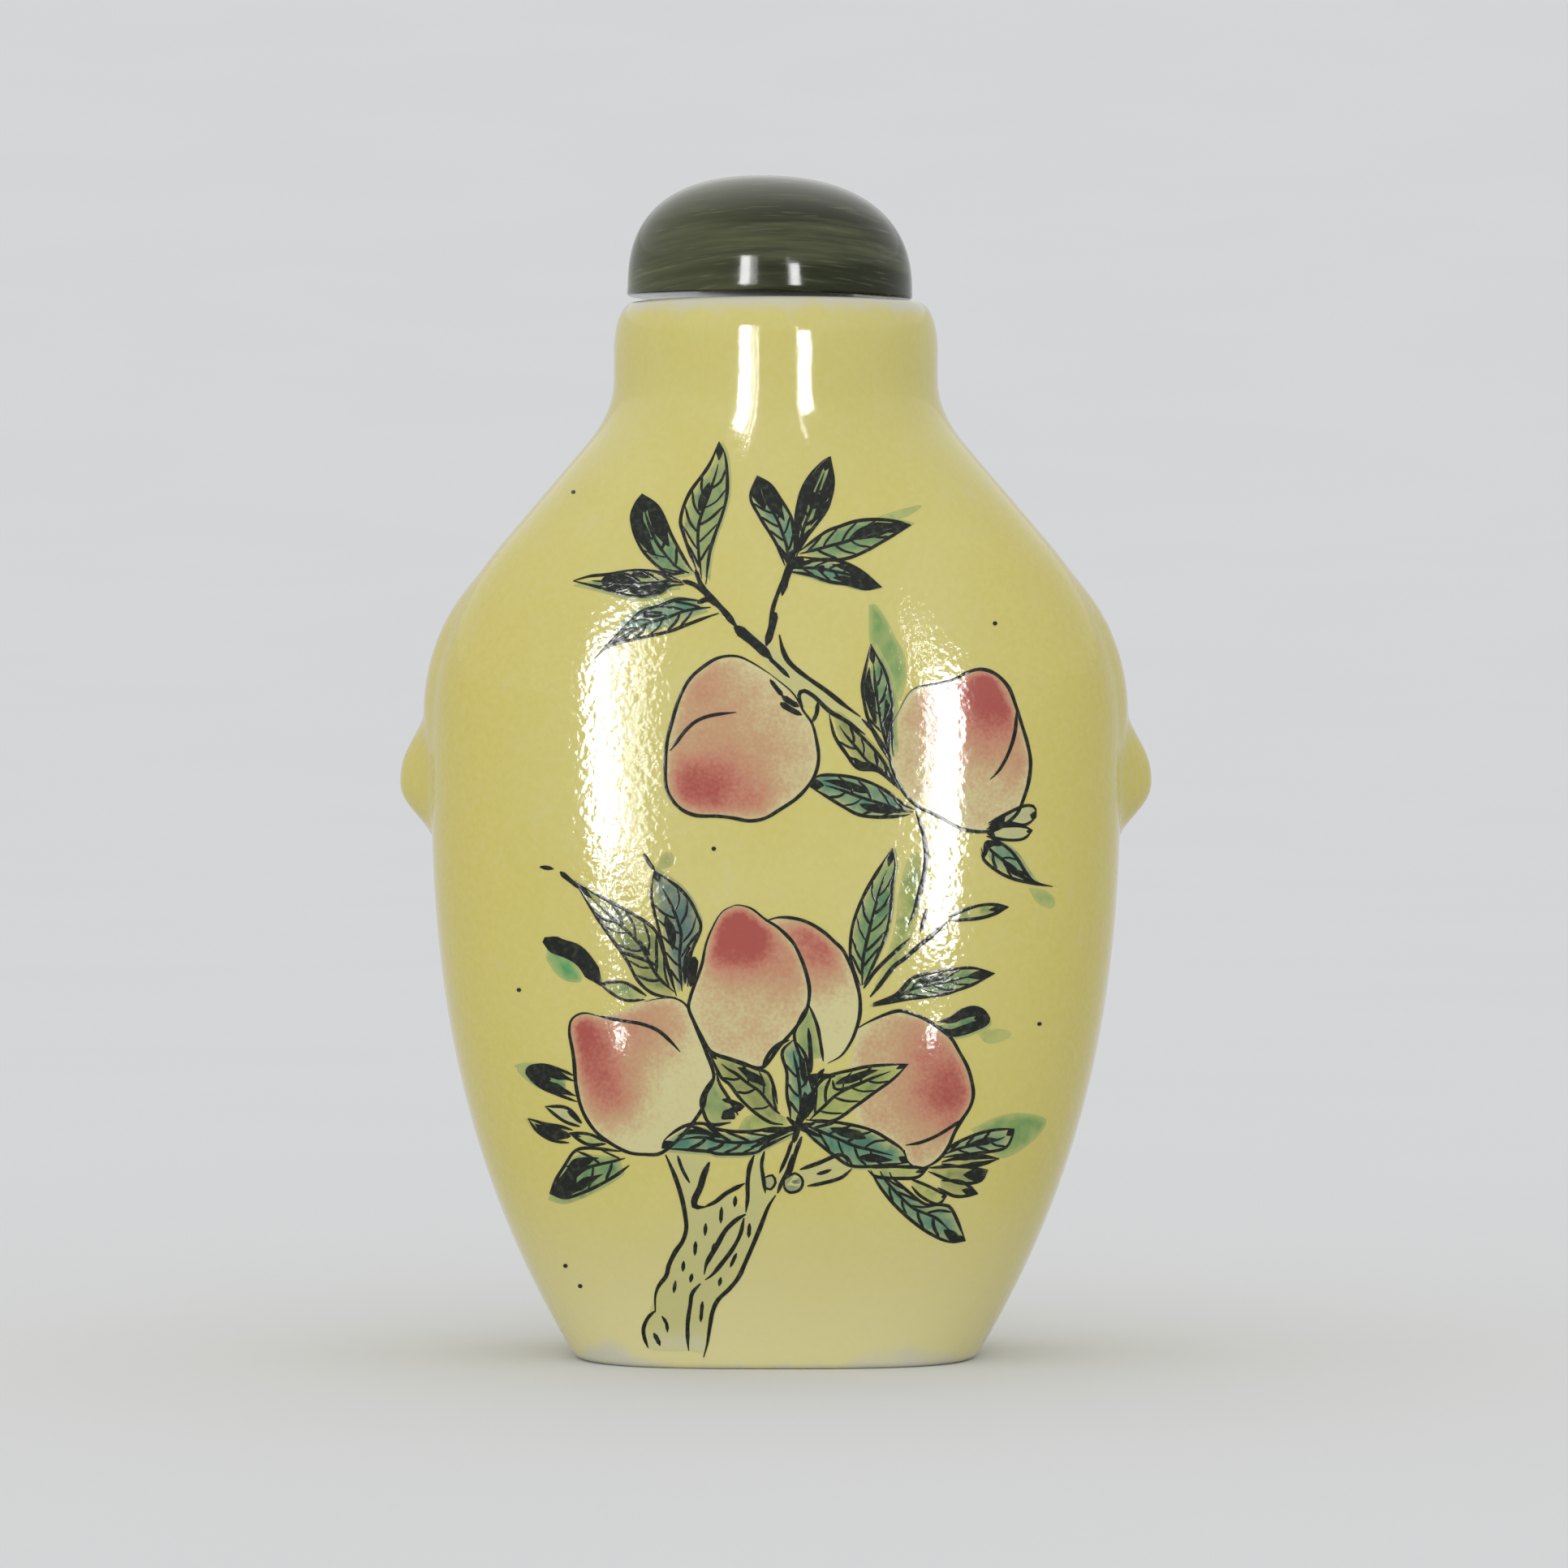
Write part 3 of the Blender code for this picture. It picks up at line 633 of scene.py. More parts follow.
OTHER_LEAVES = (
    ("green", (0.3, 0.1), ((0.84, 1, 0, 1), (0.3, 0.8, 0.06, 0.4), (0.1, 0.5, 0.62, 0.95)),
     ((6.05, 33), (5.4, 34.15), (4.95, 35.2), (4.75, 36.05), (4.65, 36.95), (4.8, 37.8), (5.1, 39.2)),
     ((6.3, 33.2), (6.2, 34.85), (6.25, 35.85), (6.1, 36.85), (5.85, 37.75), (5.4, 38.6), (5.1, 39.2))),
    ("teal", (0, 0.1), ((0.1, 0.5, 0.54, 0.86), (0.42, 0.85, 0.14, 0.42), (0.86, 1, 0, 1)),
     ((7.5, 30.35), (6.9, 30.6), (5.9, 31.35), (4.9, 31.85), (3.65, 32.15), (2.3, 32.15), (1.8, 31.6)),
     ((7.2, 30.1), (6.65, 30), (5.4, 29.95), (4.4, 30.1), (3.55, 30.55), (2.65, 31.1), (1.8, 31.6))),
    ("olive", (0.2, 0.1), ((0.16, 0.5, 0, 0.42),),
     ((6.4, 31.6), (5.5, 32.4), (4.4, 32.55), (3.8, 33.3), (3.15, 34.3), (2.85, 35.55)),
     ((6.9, 31.2), (6.4, 31.8), (5.75, 32.95), (5.05, 33.8), (4.3, 34.55), (3.4, 35.4), (2.85, 35.55))),
    ("pale", (0, 0), ((0, 0.36, 0, 1), (0.82, 1, 0, 1)),
     ((11.4, 29.6), (12.4, 30.1), (13.3, 30.5), (13.9, 30.45), (14, 29.9)),
     ((11.4, 29.4), (12.5, 29.6), (13.4, 29.5), (14, 29.9))),
    ("pale", (0, 0), ((0, 0.2, 0, 1), (0.86, 1, 0, 1)),
     ((11.3, 29.3), (12.4, 29.45), (13.3, 29.4), (13.8, 29.2)),
     ((11.3, 28.9), (12.4, 28.7), (13.3, 28.75), (13.8, 29.2))),
    ("teal", (0.3, 0), ((0.34, 0.8, 0.3, 0.76), (0.86, 1, 0, 1), (0, 0.14, 0, 1)),
     ((11.4, 28.9), (12.4, 28.3), (12.95, 27.7), (13.4, 27), (13.9, 26.4), (14.9, 26.15)),
     ((11, 28.3), (11.2, 27.6), (12.1, 26.9), (12.95, 26.55), (13.9, 26.35), (14.9, 26.15))),
    ("green", (0.15, 0), ((0.88, 1, 0, 1),),
     ((4.55, 20.95), (4.05, 22.2), (4, 23.2), (4.15, 24.3), (4.55, 25.4), (5.05, 26.4), (6.25, 28.3)),
     ((4.7, 21), (5, 21.6), (5.5, 22.7), (5.9, 23.7), (6.15, 24.9), (6.25, 26.4), (6.4, 27.4), (6.25, 28.3))),
    ("lime", (0, 0), ((0.7, 1, 0, 1),),
     ((9.2, 24.6), (10.5, 25.1), (11.35, 25.25), (12.1, 25.2), (12.5, 25.1)),
     ((9.3, 24.4), (10.75, 24.5), (11.6, 24.7), (12.5, 25.1))),
    ("green", (-0.2, -0.1), ((0.8, 1, 0, 1), (0.35, 0.68, 0.15, 0.4)),
     ((5.2, 20), (6.4, 20.45), (7.25, 21.3), (8.25, 21.6), (9.4, 21.8), (10.6, 21.85), (11.75, 21.55)),
     ((5.2, 19.85), (6.9, 20.2), (8.9, 20.45), (9.75, 20.7), (10.5, 20.95), (11.75, 21.55))),
    ("green", (0.1, -0.2), ((0, 1, 0, 0.4), (0, 1, 0.62, 1), (0.7, 1, 0, 1)),
     ((8.65, 19), (9.4, 19.2), (9.95, 19.6), (10.6, 19.75), (11.15, 19.55), (11.5, 19.15)),
     ((8.7, 18.8), (9.3, 18.3), (9.95, 18.3), (10.7, 18.55), (11.35, 18.85), (11.5, 19.15))),
    ("lime", (0, 0), ((0.38, 0.75, 0.12, 0.38), (0.9, 1, 0, 1)),
     ((1.75, 13.9), (1.95, 15), (2.6, 16), (4.15, 16.45), (5.2, 16.65), (7.1, 16.75)),
     ((1.9, 13.6), (3.2, 13.75), (4.3, 14.5), (5.4, 15.3), (6.3, 15.95), (7.1, 16.75))),
    ("teal", (0, -0.15), ((0.22, 0.55, 0.1, 0.38), (0.55, 0.85, 0.6, 0.88), (0.9, 1, 0, 1)),
     ((1.6, 13.75), (3, 13.65), (4.4, 13.4), (5.3, 13.1), (6.05, 12.65), (6.8, 12.1), (7.1, 11.4)),
     ((1.5, 13.2), (2.35, 12.45), (3.1, 11.85), (3.9, 11.3), (4.85, 11.2), (6.05, 11.3), (7.1, 11.4))),
    ("lime", (0, 0), ((0.8, 1, 0, 1),),
     ((4.95, 11.15), (6.3, 11.2), (8.2, 11.1)),
     ((4.95, 11), (5.4, 10.65), (6.5, 10.55), (7.6, 10.6), (8.2, 11.1))),
    ("teal", (-0.1, 0), ((0.3, 0.75, 0.28, 0.66), (0.86, 1, 0, 1)),
     ((9.2, 12), (9.5, 12.3), (10.2, 12.65), (11.05, 12.95), (11.95, 13.1), (12.85, 13.1)),
     ((9, 11.65), (9.65, 11.75), (10.85, 11.85), (12.3, 12.05), (12.75, 12.7), (12.85, 13.1))),
    ("olive", (0, 0), ((0.1, 1, 0, 0.4), (0.3, 1, 0.6, 1)),
     ((8.9, 11.4), (10.5, 11.75), (12.05, 11.5)), ((8.9, 11.3), (10.5, 11.1), (12.05, 11.5))),
    ("olive", (0.1, 0), ((0.6, 0.98, 0, 1),),
     ((8.2, 11.1), (9.8, 11.15), (11.4, 10.9)), ((8.2, 10.9), (9.8, 10.25), (11, 10.3), (11.4, 10.9))),
    ("olive", (0, 0.1), ((0.6, 1, 0, 1),),
     ((8.9, 10.4), (10, 10.3), (10.9, 9.6)), ((8.7, 10), (9.7, 9.5), (10.9, 9.6))),
    ("lime", (0, 0), ((0.85, 1, 0, 1),),
     ((7.25, 10.5), (8.2, 10.1), (9.2, 9.55)), ((7.3, 10.1), (7.8, 9.55), (8.7, 9.1), (9.2, 9.55))),
    ("teal", (-0.1, 0), ((0.78, 1, 0.3, 1), (0.9, 1, 0, 1)),
     ((6.1, 10.9), (6.3, 10.55), (7.2, 9.75), (8.05, 9.1), (8.95, 9.05), (9.5, 8.75), (10.25, 7)),
     ((5.1, 11), (5.6, 10.1), (6.3, 9.2), (7.05, 8.45), (7.9, 7.75), (8.8, 7.2), (9.55, 6.95), (10.25, 7))),
    ("sage", (0, 0), (), ((1.4, 16.9), (1, 18.2), (1.2, 18.9), (1.75, 20)),
     ((2.55, 16.9), (2.4, 17.9), (2.2, 18.9), (1.75, 20))),
    ("teal", (0.1, 0), ((0.4, 0.8, 0.62, 0.92), (0.05, 0.35, 0.5, 0.85)),
     ((0.8, 13.8), (0.75, 14.35), (0.6, 15.15), (0.6, 16.3), (0.35, 17.4), (1, 18.1)),
     ((1.6, 13.8), (2, 14.5), (2, 15.3), (1.8, 16.1), (1.6, 17.2), (1, 18.1))),
    ("olive", (0, 0), ((0.3, 0.66, 0.12, 0.4), (0.9, 1, 0, 1)),
     ((0.1, 14.6), (-0.15, 15.7), (-0.45, 16.3), (-1.05, 16.5), (-1.85, 16.85), (-3.55, 17.4)),
     ((0.4, 13.5), (-0.25, 13.6), (-1.05, 14.1), (-1.85, 14.85), (-2.45, 15.65), (-2.95, 16.1),
      (-3.55, 17.4))),
    ("sage", (0, 0), ((0, 0.3, 0.1, 0.7),),
     ((-2.0, 14.0), (-2.5, 14.9), (-3.0, 15.7), (-3.15, 16.3)),
     ((-2.4, 13.6), (-3.45, 13.5), (-3.85, 14.15), (-3.95, 14.95), (-3.15, 16.3))),
    ("teal", (0, -0.2), ((0.5, 0.85, 0.16, 0.4), (0.9, 1, 0, 1), (0.05, 0.35, 0.56, 0.82)),
     ((1, 13.3), (0, 13.3), (-1.65, 13.1), (-3.2, 13.25), (-3.9, 13.55), (-4.9, 13.4), (-5.9, 12.7),
      (-6.1, 12.2)),
     ((1, 13.05), (0.25, 12.7), (-0.55, 12.3), (-1.2, 11.95), (-3, 11.9), (-3.75, 12.05), (-6.1, 12.2))),
    ("olive", (0, 0.1), ((0.86, 1, 0, 1),),
     ((-5.5, 20.9), (-5.9, 22.4), (-6.35, 23.75), (-6.95, 24.35), (-7.95, 24.95), (-9.75, 25.9),
      (-10.75, 26.5)),
     ((-5.3, 20.3), (-6.5, 20.5), (-7.35, 21.2), (-7.95, 22.3), (-8.65, 23.3), (-9.4, 24.35),
      (-10.75, 26.5))),
    ("slate", (0.1, 0.2), ((0.9, 1, 0, 1), (0.02, 0.3, 0.64, 1), (0.34, 0.62, 0.14, 0.38)),
     ((-5.3, 20.4), (-5.75, 21.95), (-6, 22.95), (-6.25, 24), (-6.5, 24.95), (-6.65, 25.95), (-6.5, 27.1)),
     ((-4.7, 20.9), (-4.5, 22.7), (-4, 24), (-4.2, 24.75), (-4.55, 25.45), (-5.2, 26.2), (-6.5, 27.1))),
    ("sage", (0, 0), ((0.86, 1, 0, 1),),
     ((-6.9, 20.4), (-8.1, 21.1), (-9.45, 21.05)), ((-7, 20.2), (-8.2, 20.2), (-9.45, 21.05))),
    ("green", (-0.45, 0.1), ((0, 1, 0, 0.42), (0, 1, 0.58, 1), (0.5, 1, 0, 1)),
     ((-10.8, 16.05), (-11.65, 16.4), (-12.5, 16.6), (-13.3, 16.45), (-13.45, 16.1)),
     ((-10.65, 14.65), (-11.65, 15), (-12.45, 15.3), (-13.1, 15.75), (-13.45, 16.1))),
    ("olive", (-0.2, 0), ((0, 0.85, 0, 1),),
     ((-10.9, 13.1), (-11.65, 13.3), (-12.45, 13.4), (-13.35, 13.65)),
     ((-11.1, 12.4), (-12, 12.5), (-12.8, 12.95), (-13.35, 13.65))),
    ("pale", (0, 0), ((0, 0.45, 0, 0.45),),
     ((-10.4, 13.5), (-11.2, 14.3), (-12.4, 14.35)), ((-10.5, 13.3), (-11.4, 13.6), (-12.4, 14.35))),
    ("sage", (0, 0), ((0.7, 1, 0, 1),),
     ((-9.1, 12.5), (-10.0, 12.9), (-11.1, 12.95)), ((-9.1, 12.4), (-10.1, 12.35), (-11.1, 12.95))),
    ("green", (-0.1, -0.35), ((0.28, 1, 0.12, 0.5), (0.3, 1, 0.66, 0.92), (0.62, 1, 0.1, 0.95)),
     ((-8.3, 12.0), (-10, 12.15), (-10.8, 11.95), (-11.35, 11.15), (-11.9, 10.25), (-12.2, 9.55)),
     ((-7.85, 11.25), (-8.55, 10.7), (-9.45, 10.15), (-10.35, 9.7), (-11.35, 9.35), (-12.2, 9.55))),
)
# Washes with no ink of their own: blades and blots of green beside the leaves, the bark and its stub.
BLOTS = (
    ("bright", ((5, 41.3), (5.4, 41.3), (5.95, 40.5), (6.4, 39.6), (6.85, 38.75), (7, 37.95), (6.95, 37.1),
                (6.6, 36.2), (5.85, 37.6), (5.4, 38.6), (5.05, 39.3), (5, 40.2), (5, 41.3))),
    ("bright", ((5.4, 46), (6.4, 46.35), (7.9, 46.7), (7.2, 46.15), (6.2, 45.85), (5.4, 46))),
    ("bright", ((13.6, 26.1), (14.4, 26.0), (15.0, 25.5), (14.9, 25.0), (14.1, 25.3), (13.6, 26.1))),
    ("lime", ((5.3, 20.9), (5.9, 22.4), (6.4, 24.2), (6.6, 26), (7.1, 27.8), (7.7, 27.9), (7.8, 26),
              (7.5, 24.3), (6.9, 22.6), (6.0, 21.3), (5.3, 20.9))),
    ("bright", ((10.5, 13.15), (11.95, 13.8), (13.25, 13.95), (14.6, 13.55), (14.25, 12.7), (13.05, 11.8),
                (11.95, 11.6), (10.5, 13.15))),
    ("lime", ((-2, 13.25), (-1.6, 13.9), (-0.6, 14.1), (0.5, 13.9), (0.5, 13.25), (-0.8, 13.1), (-2, 13.25))),
    ("grass", ((-12.3, 22.3), (-11.75, 21.5), (-11, 21.1), (-10.35, 21.25), (-10.9, 22.3), (-12.1, 23.25),
               (-12.3, 22.3))),
    ("grass", ((-14.1, 16.5), (-13.4, 16.7), (-12.9, 16.3), (-13.4, 16.0), (-14.1, 16.5))),
    ("lime", ((10.6, 18.6), (12.3, 18.5), (12.6, 18.1), (11.4, 17.8), (10.6, 18.6))),
    ("olive", ((-6.4, 27.1), (-6.1, 27.9), (-5.6, 28.1), (-5.5, 27.4), (-6.4, 27.1))),
    ("bark", ((-5.9, 11.85), (-5.25, 10.25), (-4.85, 8.5), (-5, 7.1), (-5.75, 5.75), (-6.5, 4), (-7.1, 2.2),
              (-6.9, 1.1), (-5.6, 0.95), (-4.7, 1), (-3.9, 0.9), (-3.7, 1.4), (-3.4, 3.2), (-2.5, 4.45),
              (-1.6, 6), (-0.8, 7.95), (0, 9.65), (0.9, 11.35), (1.4, 12.85), (0.9, 12.65), (0.2, 10.85),
              (-0.6, 9.8), (-0.65, 10.7), (-0.6, 12.05), (-1.15, 11.85), (-1.5, 10.2), (-1.65, 8.9),
              (-2.7, 9.75), (-3.75, 9.05), (-4.35, 9.2), (-3.9, 10.6), (-3.55, 11.6), (-4.6, 11.9),
              (-5.9, 11.85))),
    ("slate", ((-0.6, 10.6), (-0.2, 10.75), (0.0, 10.35), (-0.3, 9.95), (-0.65, 10.2), (-0.6, 10.6))),
    ("slate", ((0.5, 10.5), (1.0, 10.85), (1.45, 10.5), (1.3, 9.95), (0.75, 9.8), (0.45, 10.1), (0.5, 10.5))),
    ("bark", ((0.6, 10.2), (1.3, 11.05), (2.3, 11.4), (3.4, 11.85), (3.9, 11.6), (4.15, 11.2), (3.5, 10.6),
              (2.5, 10.3), (1.7, 10.1), (0.6, 10.2))),
    ("bark", ((-3.4, 41.8), (-2.6, 41.0), (-1.6, 40.1), (-0.3, 39.3), (0.5, 38.5), (1.7, 37.4), (3.65, 35.95),
              (4.75, 35.1), (4.6, 34.5), (2.9, 35.7), (1.5, 35.9), (0.4, 37.0), (-0.6, 38.3), (-2, 39.8),
              (-3.3, 41.3), (-3.4, 41.8))),
)


def green_washes():
    """Transparent green enamel brushed thin over yellow: it pools darker in places and pales at its edge."""
    material, tree, shader = new_material("leaf_enamel_wash", ior=1.5, roughness=0.09)
    place = add(tree, "ShaderNodeTexCoord", {}).outputs["Object"]
    pigment = add(tree, "ShaderNodeAttribute", {}, attribute_name="pigment").outputs["Color"]
    depth = add(tree, "ShaderNodeAttribute", {}, attribute_name="depth").outputs["Fac"]
    pools = add(tree, "ShaderNodeTexNoise", {"Vector": place, "Scale": 1 / (0.9 * MM), "Detail": 3.0})
    streaks = add(tree, "ShaderNodeMapRange", {
        "Value": pools.outputs["Fac"], "From Min": 0.3, "From Max": 0.6, "To Min": 0.7, "To Max": 1.0})
    load = add(tree, "ShaderNodeMath", {0: streaks.outputs["Result"], 1: depth}, operation="MULTIPLY")
    over_yellow = add(tree, "ShaderNodeMix", {
        0: load.outputs["Value"], 6: linear("C2BE74"), 7: pigment}, data_type="RGBA")
    pooled = add(tree, "ShaderNodeMapRange", {
        "Value": pools.outputs["Fac"], "From Min": 0.55, "From Max": 0.75, "To Min": 0.0, "To Max": 0.55})
    deepest = add(tree, "ShaderNodeMix", {
        0: pooled.outputs["Result"], 6: over_yellow.outputs[2], 7: linear("2F5A44")}, data_type="RGBA")
    is_leaf = add(tree, "ShaderNodeAttribute", {}, attribute_name="leafy").outputs["Fac"]
    colour = add(tree, "ShaderNodeMix", {
        0: is_leaf, 6: over_yellow.outputs[2], 7: deepest.outputs[2]}, data_type="RGBA")
    tree.links.new(colour.outputs[2], shader.inputs["Base Color"])
    tree.links.new(glaze_skin(tree, place, PEEL_DEPTH), shader.inputs["Normal"])
    return material


def tinted(name):
    colour = linear(TINTS[name])
    bare = linear("C9C7B0")
    leafy = {"bark": 0.0, "bright": 0.1, "grass": 0.3}.get(name, 1.0)

    def values(point, from_edge):
        wear_and_sheen = clamp((2.4 - point.y) / 1.6)
        mixed = tuple(c + (b - c) * wear_and_sheen for c, b in zip(colour, bare))
        return {"pigment": mixed, "depth": 0.45 + 0.55 * ease(from_edge / 0.35), "leafy": leafy}
    return values


def edges_of(leaf, shift):
    edges = leaf[3:]
    return [curve(mirrored(edge, shift) if shift else edge) for edge in edges]


leaf_front, leaf_back = new_batch(), new_batch()
rise = LEAF_RISE
for tint, outline in BLOTS:
    film(leaf_front, curve(outline)[:-1], rise, False, tinted(tint))
    rise += LEAF_RISE_STEP
sprays = ((leaf_front, UPPER_LEAVES + OTHER_LEAVES, None), (leaf_back, UPPER_LEAVES, BACK_SHIFT))
for batch, leaves, shift in sprays:
    for leaf in leaves:
        near, far = edges_of(leaf, shift)
        slip = Vector(leaf[1])
        outline = [point + slip for point in near + far[-2:0:-1]]
        film(batch, outline, rise, shift is not None, tinted(leaf[0]))
        rise += LEAF_RISE_STEP
green = green_washes()
batch_piece("painted_leaves", leaf_front, green)
batch_piece("painted_leaves_back", leaf_back, green)

# Ink drawing: outlines, veins and dark touches in near-black enamel, drawn with a fine pointed brush over
# the washes, so each line swells and tapers and stands a little higher than they do.
INK_FILL_RISE, INK_EDGE_RISE, INK_CROWN_RISE = 0.036, 0.036, 0.042
PEACH_LINE, LEAF_LINE, RIB_LINE, VEIN_LINE, DASH_LINE, SPECK_LINE = 0.19, 0.18, 0.17, 0.14, 0.2, 0.22
VEIN_LEAN, VEINED_LENGTH, SPECK_HALF = 0.17, 3.4, 0.12
# Free brush lines: width at the middle, then the points. The first ones are the twig that the back has too.
TWIG_LINES = 15
LINES = (
    (0.34, ((-4.15, 42.5), (-3.6, 41.8), (-2.85, 41.05), (-2, 40))),
    (0.28, ((-5.0, 42.6), (-4.3, 42.35), (-3.5, 41.7))),
    (0.24, ((-4.3, 43.2), (-4.05, 42.5), (-3.6, 41.9))),
    (0.28, ((-4.2, 41.4), (-3.6, 41.6), (-3.1, 41.2))),
    (0.6, ((-2.2, 40.15), (-1.05, 39.2), (-0.2, 38.4))),
    (0.25, ((-0.4, 38.5), (0.2, 37.95), (0.75, 37.4))),
    (0.22, ((0.55, 43), (0.15, 42), (-0.15, 41.1), (-0.3, 40.1), (-0.45, 39.2))),
    (0.4, ((1.0, 44.0), (0.75, 43.3), (0.5, 42.6), (0.35, 41.8))),
    (0.5, ((0.6, 43.4), (1.0, 43.5), (1.5, 43.8))),
    (0.42, ((0.0, 40.9), (-0.2, 40.1), (-0.5, 39.1))),
    (0.26, ((0.2, 39.7), (0.35, 39), (0.6, 38.4), (1, 37.95), (1.7, 37.4), (2.7, 36.7), (3.65, 35.95),
            (4.55, 35.3))),
    (0.24, ((1.45, 35.8), (1.25, 36.45), (1.5, 36.7), (2.05, 36.4), (2.9, 35.6), (3.9, 35), (4.8, 34.35))),
    (0.3, ((0.35, 36.4), (0.8, 36.1), (1.25, 35.85))),
    (0.3, ((0.25, 36.05), (0.8, 35.7), (1.4, 35.4))),
    (0.24, ((-0.3, 37.3), (0.0, 36.9), (0.4, 36.4))),
    (0.22, ((1.95, 35.0), (2.2, 35.5), (2.25, 36.1))),
    (0.2, ((4.6, 35.2), (5.2, 34.6), (5.9, 33.6), (6.2, 33.0))),
    (0.27, ((7.5, 30.3), (7.9, 29.1), (8.05, 28), (7.95, 26.9), (7.7, 25.9), (7.4, 24.9), (7.1, 24.2))),
    (0.2, ((8.1, 25.05), (7.9, 24.4), (7.75, 23.8))),
    (0.24, ((5.05, 20.35), (5.5, 20.9), (6.3, 21.95), (6.9, 22.4), (7.65, 23.05), (8.4, 23.65),
            (9.3, 24.45))),
    (0.2, ((4.7, 20.8), (5.3, 21.7), (6.2, 22.6), (7.2, 23.5))),
    (0.16, ((3.05, 15.9), (3.2, 15.4), (3.9, 15.5), (4.55, 15.8))),
    (0.22, ((-0.7, 16.6), (-0.35, 17.3), (0.15, 17.8), (0.75, 18.05))),
    (0.24, ((1.9, 16.3), (1.85, 17.7), (1.75, 18.7))),
    (0.3, ((1.6, 16.0), (2.2, 16.1), (3.2, 16.1))),
    (0.28, ((1.9, 15.5), (2.2, 16.0), (2.6, 16.5))),
    (0.26, ((1.2, 13.4), (1.6, 14.2), (1.9, 15.2))),
    (0.24, ((-2.85, 14.85), (-2.3, 14.7), (-1.65, 14.45))),
    (0.3, ((-2.6, 14.2), (-2.2, 14.3), (-1.7, 14.45))),
    (0.9, ((-12.45, 23.35), (-11.65, 23), (-10.8, 22.7), (-10.25, 22.25), (-9.8, 21.6), (-9.3, 20.95))),
    (0.22, ((-12.65, 27.25), (-12.2, 27.2), (-11.9, 27.15))),
    (0.26, ((-11.55, 27), (-10.95, 26.5), (-10.4, 26.1))),
    (0.2, ((-8.4, 22.8), (-6.95, 22.3), (-6.25, 21.95))),
    (0.18, ((-7.35, 23.4), (-6.7, 22.55))),
    (0.42, ((-4.35, 22.5), (-4.4, 21.7), (-4.55, 20.9))),
    (0.22, ((-7.05, 28), (-6.75, 27.5), (-6.45, 27.1))),
    (0.24, ((-5.9, 11.85), (-5.55, 11.05), (-5.25, 10.25), (-5, 9.35), (-4.85, 8.5), (-4.8, 7.8), (-5, 7.1),
            (-5.4, 6.5), (-5.75, 5.75), (-5.9, 5.15), (-6.3, 4.6), (-6.5, 4), (-6.5, 3.1))),
    (0.18, ((-5.25, 11.8), (-5, 11.05), (-4.6, 10.3))),
    (0.34, ((-3.55, 11.45), (-3.85, 10.75), (-4.05, 10.05), (-4.35, 9.4), (-4.3, 9.0), (-3.75, 9))),
    (0.24, ((-3.8, 9), (-3.2, 9.3), (-2.65, 9.75), (-1.65, 10.3))),
    (0.24, ((-1.15, 11.85), (-1.4, 11.15), (-1.5, 10.3), (-1.5, 9.5), (-1.6, 8.7))),
    (0.2, ((-0.6, 12.05), (-0.75, 11.35), (-0.65, 10.5), (-0.55, 9.75))),
    (0.24, ((1.4, 12.85), (1.1, 12.05), (0.9, 11.35), (0.7, 10.6))),
    (0.2, ((0.9, 12.65), (0.6, 11.75), (0.2, 10.85))),
    (0.13, ((-0.6, 10.6), (-0.2, 10.75), (0.0, 10.35), (-0.3, 9.95), (-0.65, 10.2), (-0.6, 10.6))),
    (0.15, ((0.5, 10.5), (1.0, 10.85), (1.45, 10.5), (1.3, 9.95), (0.75, 9.8), (0.45, 10.1), (0.5, 10.5))),
    (0.24, ((0.1, 9.75), (0.35, 10.4), (0.7, 11.1), (0.9, 11.9))),
    (0.3, ((0.0, 13.1), (1.0, 13.3), (2.1, 13.55))),
    (0.3, ((0.95, 12.5), (1.15, 13.2), (1.3, 14.2))),
    (0.26, ((0.6, 13.9), (1.2, 13.4), (2.5, 12.8))),
    (0.24, ((0, 9.65), (-0.4, 9), (-0.8, 7.95), (-1.2, 6.95), (-1.6, 6), (-2, 5.1), (-2.5, 4.45),
            (-3.1, 3.85), (-3.4, 3.2), (-3.55, 2.4), (-3.7, 1.4), (-3.9, 0.65))),
    (0.22, ((-4.05, 4.75), (-4.5, 4.2), (-4.6, 3.6), (-4.75, 2.55), (-4.75, 1.55), (-4.7, 1))),
    (0.26, ((-1.6, 8.6), (-2.1, 8.3), (-2.7, 7.7), (-3.2, 6.8), (-3.7, 5.9), (-3.85, 5.25))),
    (0.22, ((-1.7, 8.4), (-1.9, 7.5), (-2.3, 6.7), (-2.8, 6), (-3.4, 5.25), (-3.8, 4.95))),
    (0.2, ((-6.5, 3.2), (-6.9, 2.8), (-7.15, 2.2), (-7.1, 1.65), (-6.9, 1.1))),
    (0.2, ((-6.15, 2.9), (-5.9, 2.5), (-5.85, 2))),
    (0.22, ((-6.6, 1.95), (-6.4, 1.6), (-6.25, 1.25))),
    (0.24, ((1.3, 11.05), (2.3, 11.4), (3.4, 11.85), (3.9, 11.6), (4.15, 11.2))),
    (0.2, ((1.7, 10.15), (2.5, 10.3), (3.5, 10.6), (4.1, 11.1))),
    (0.2, ((2.2, 10.8), (2.6, 10.9), (3.0, 11.05))),
)
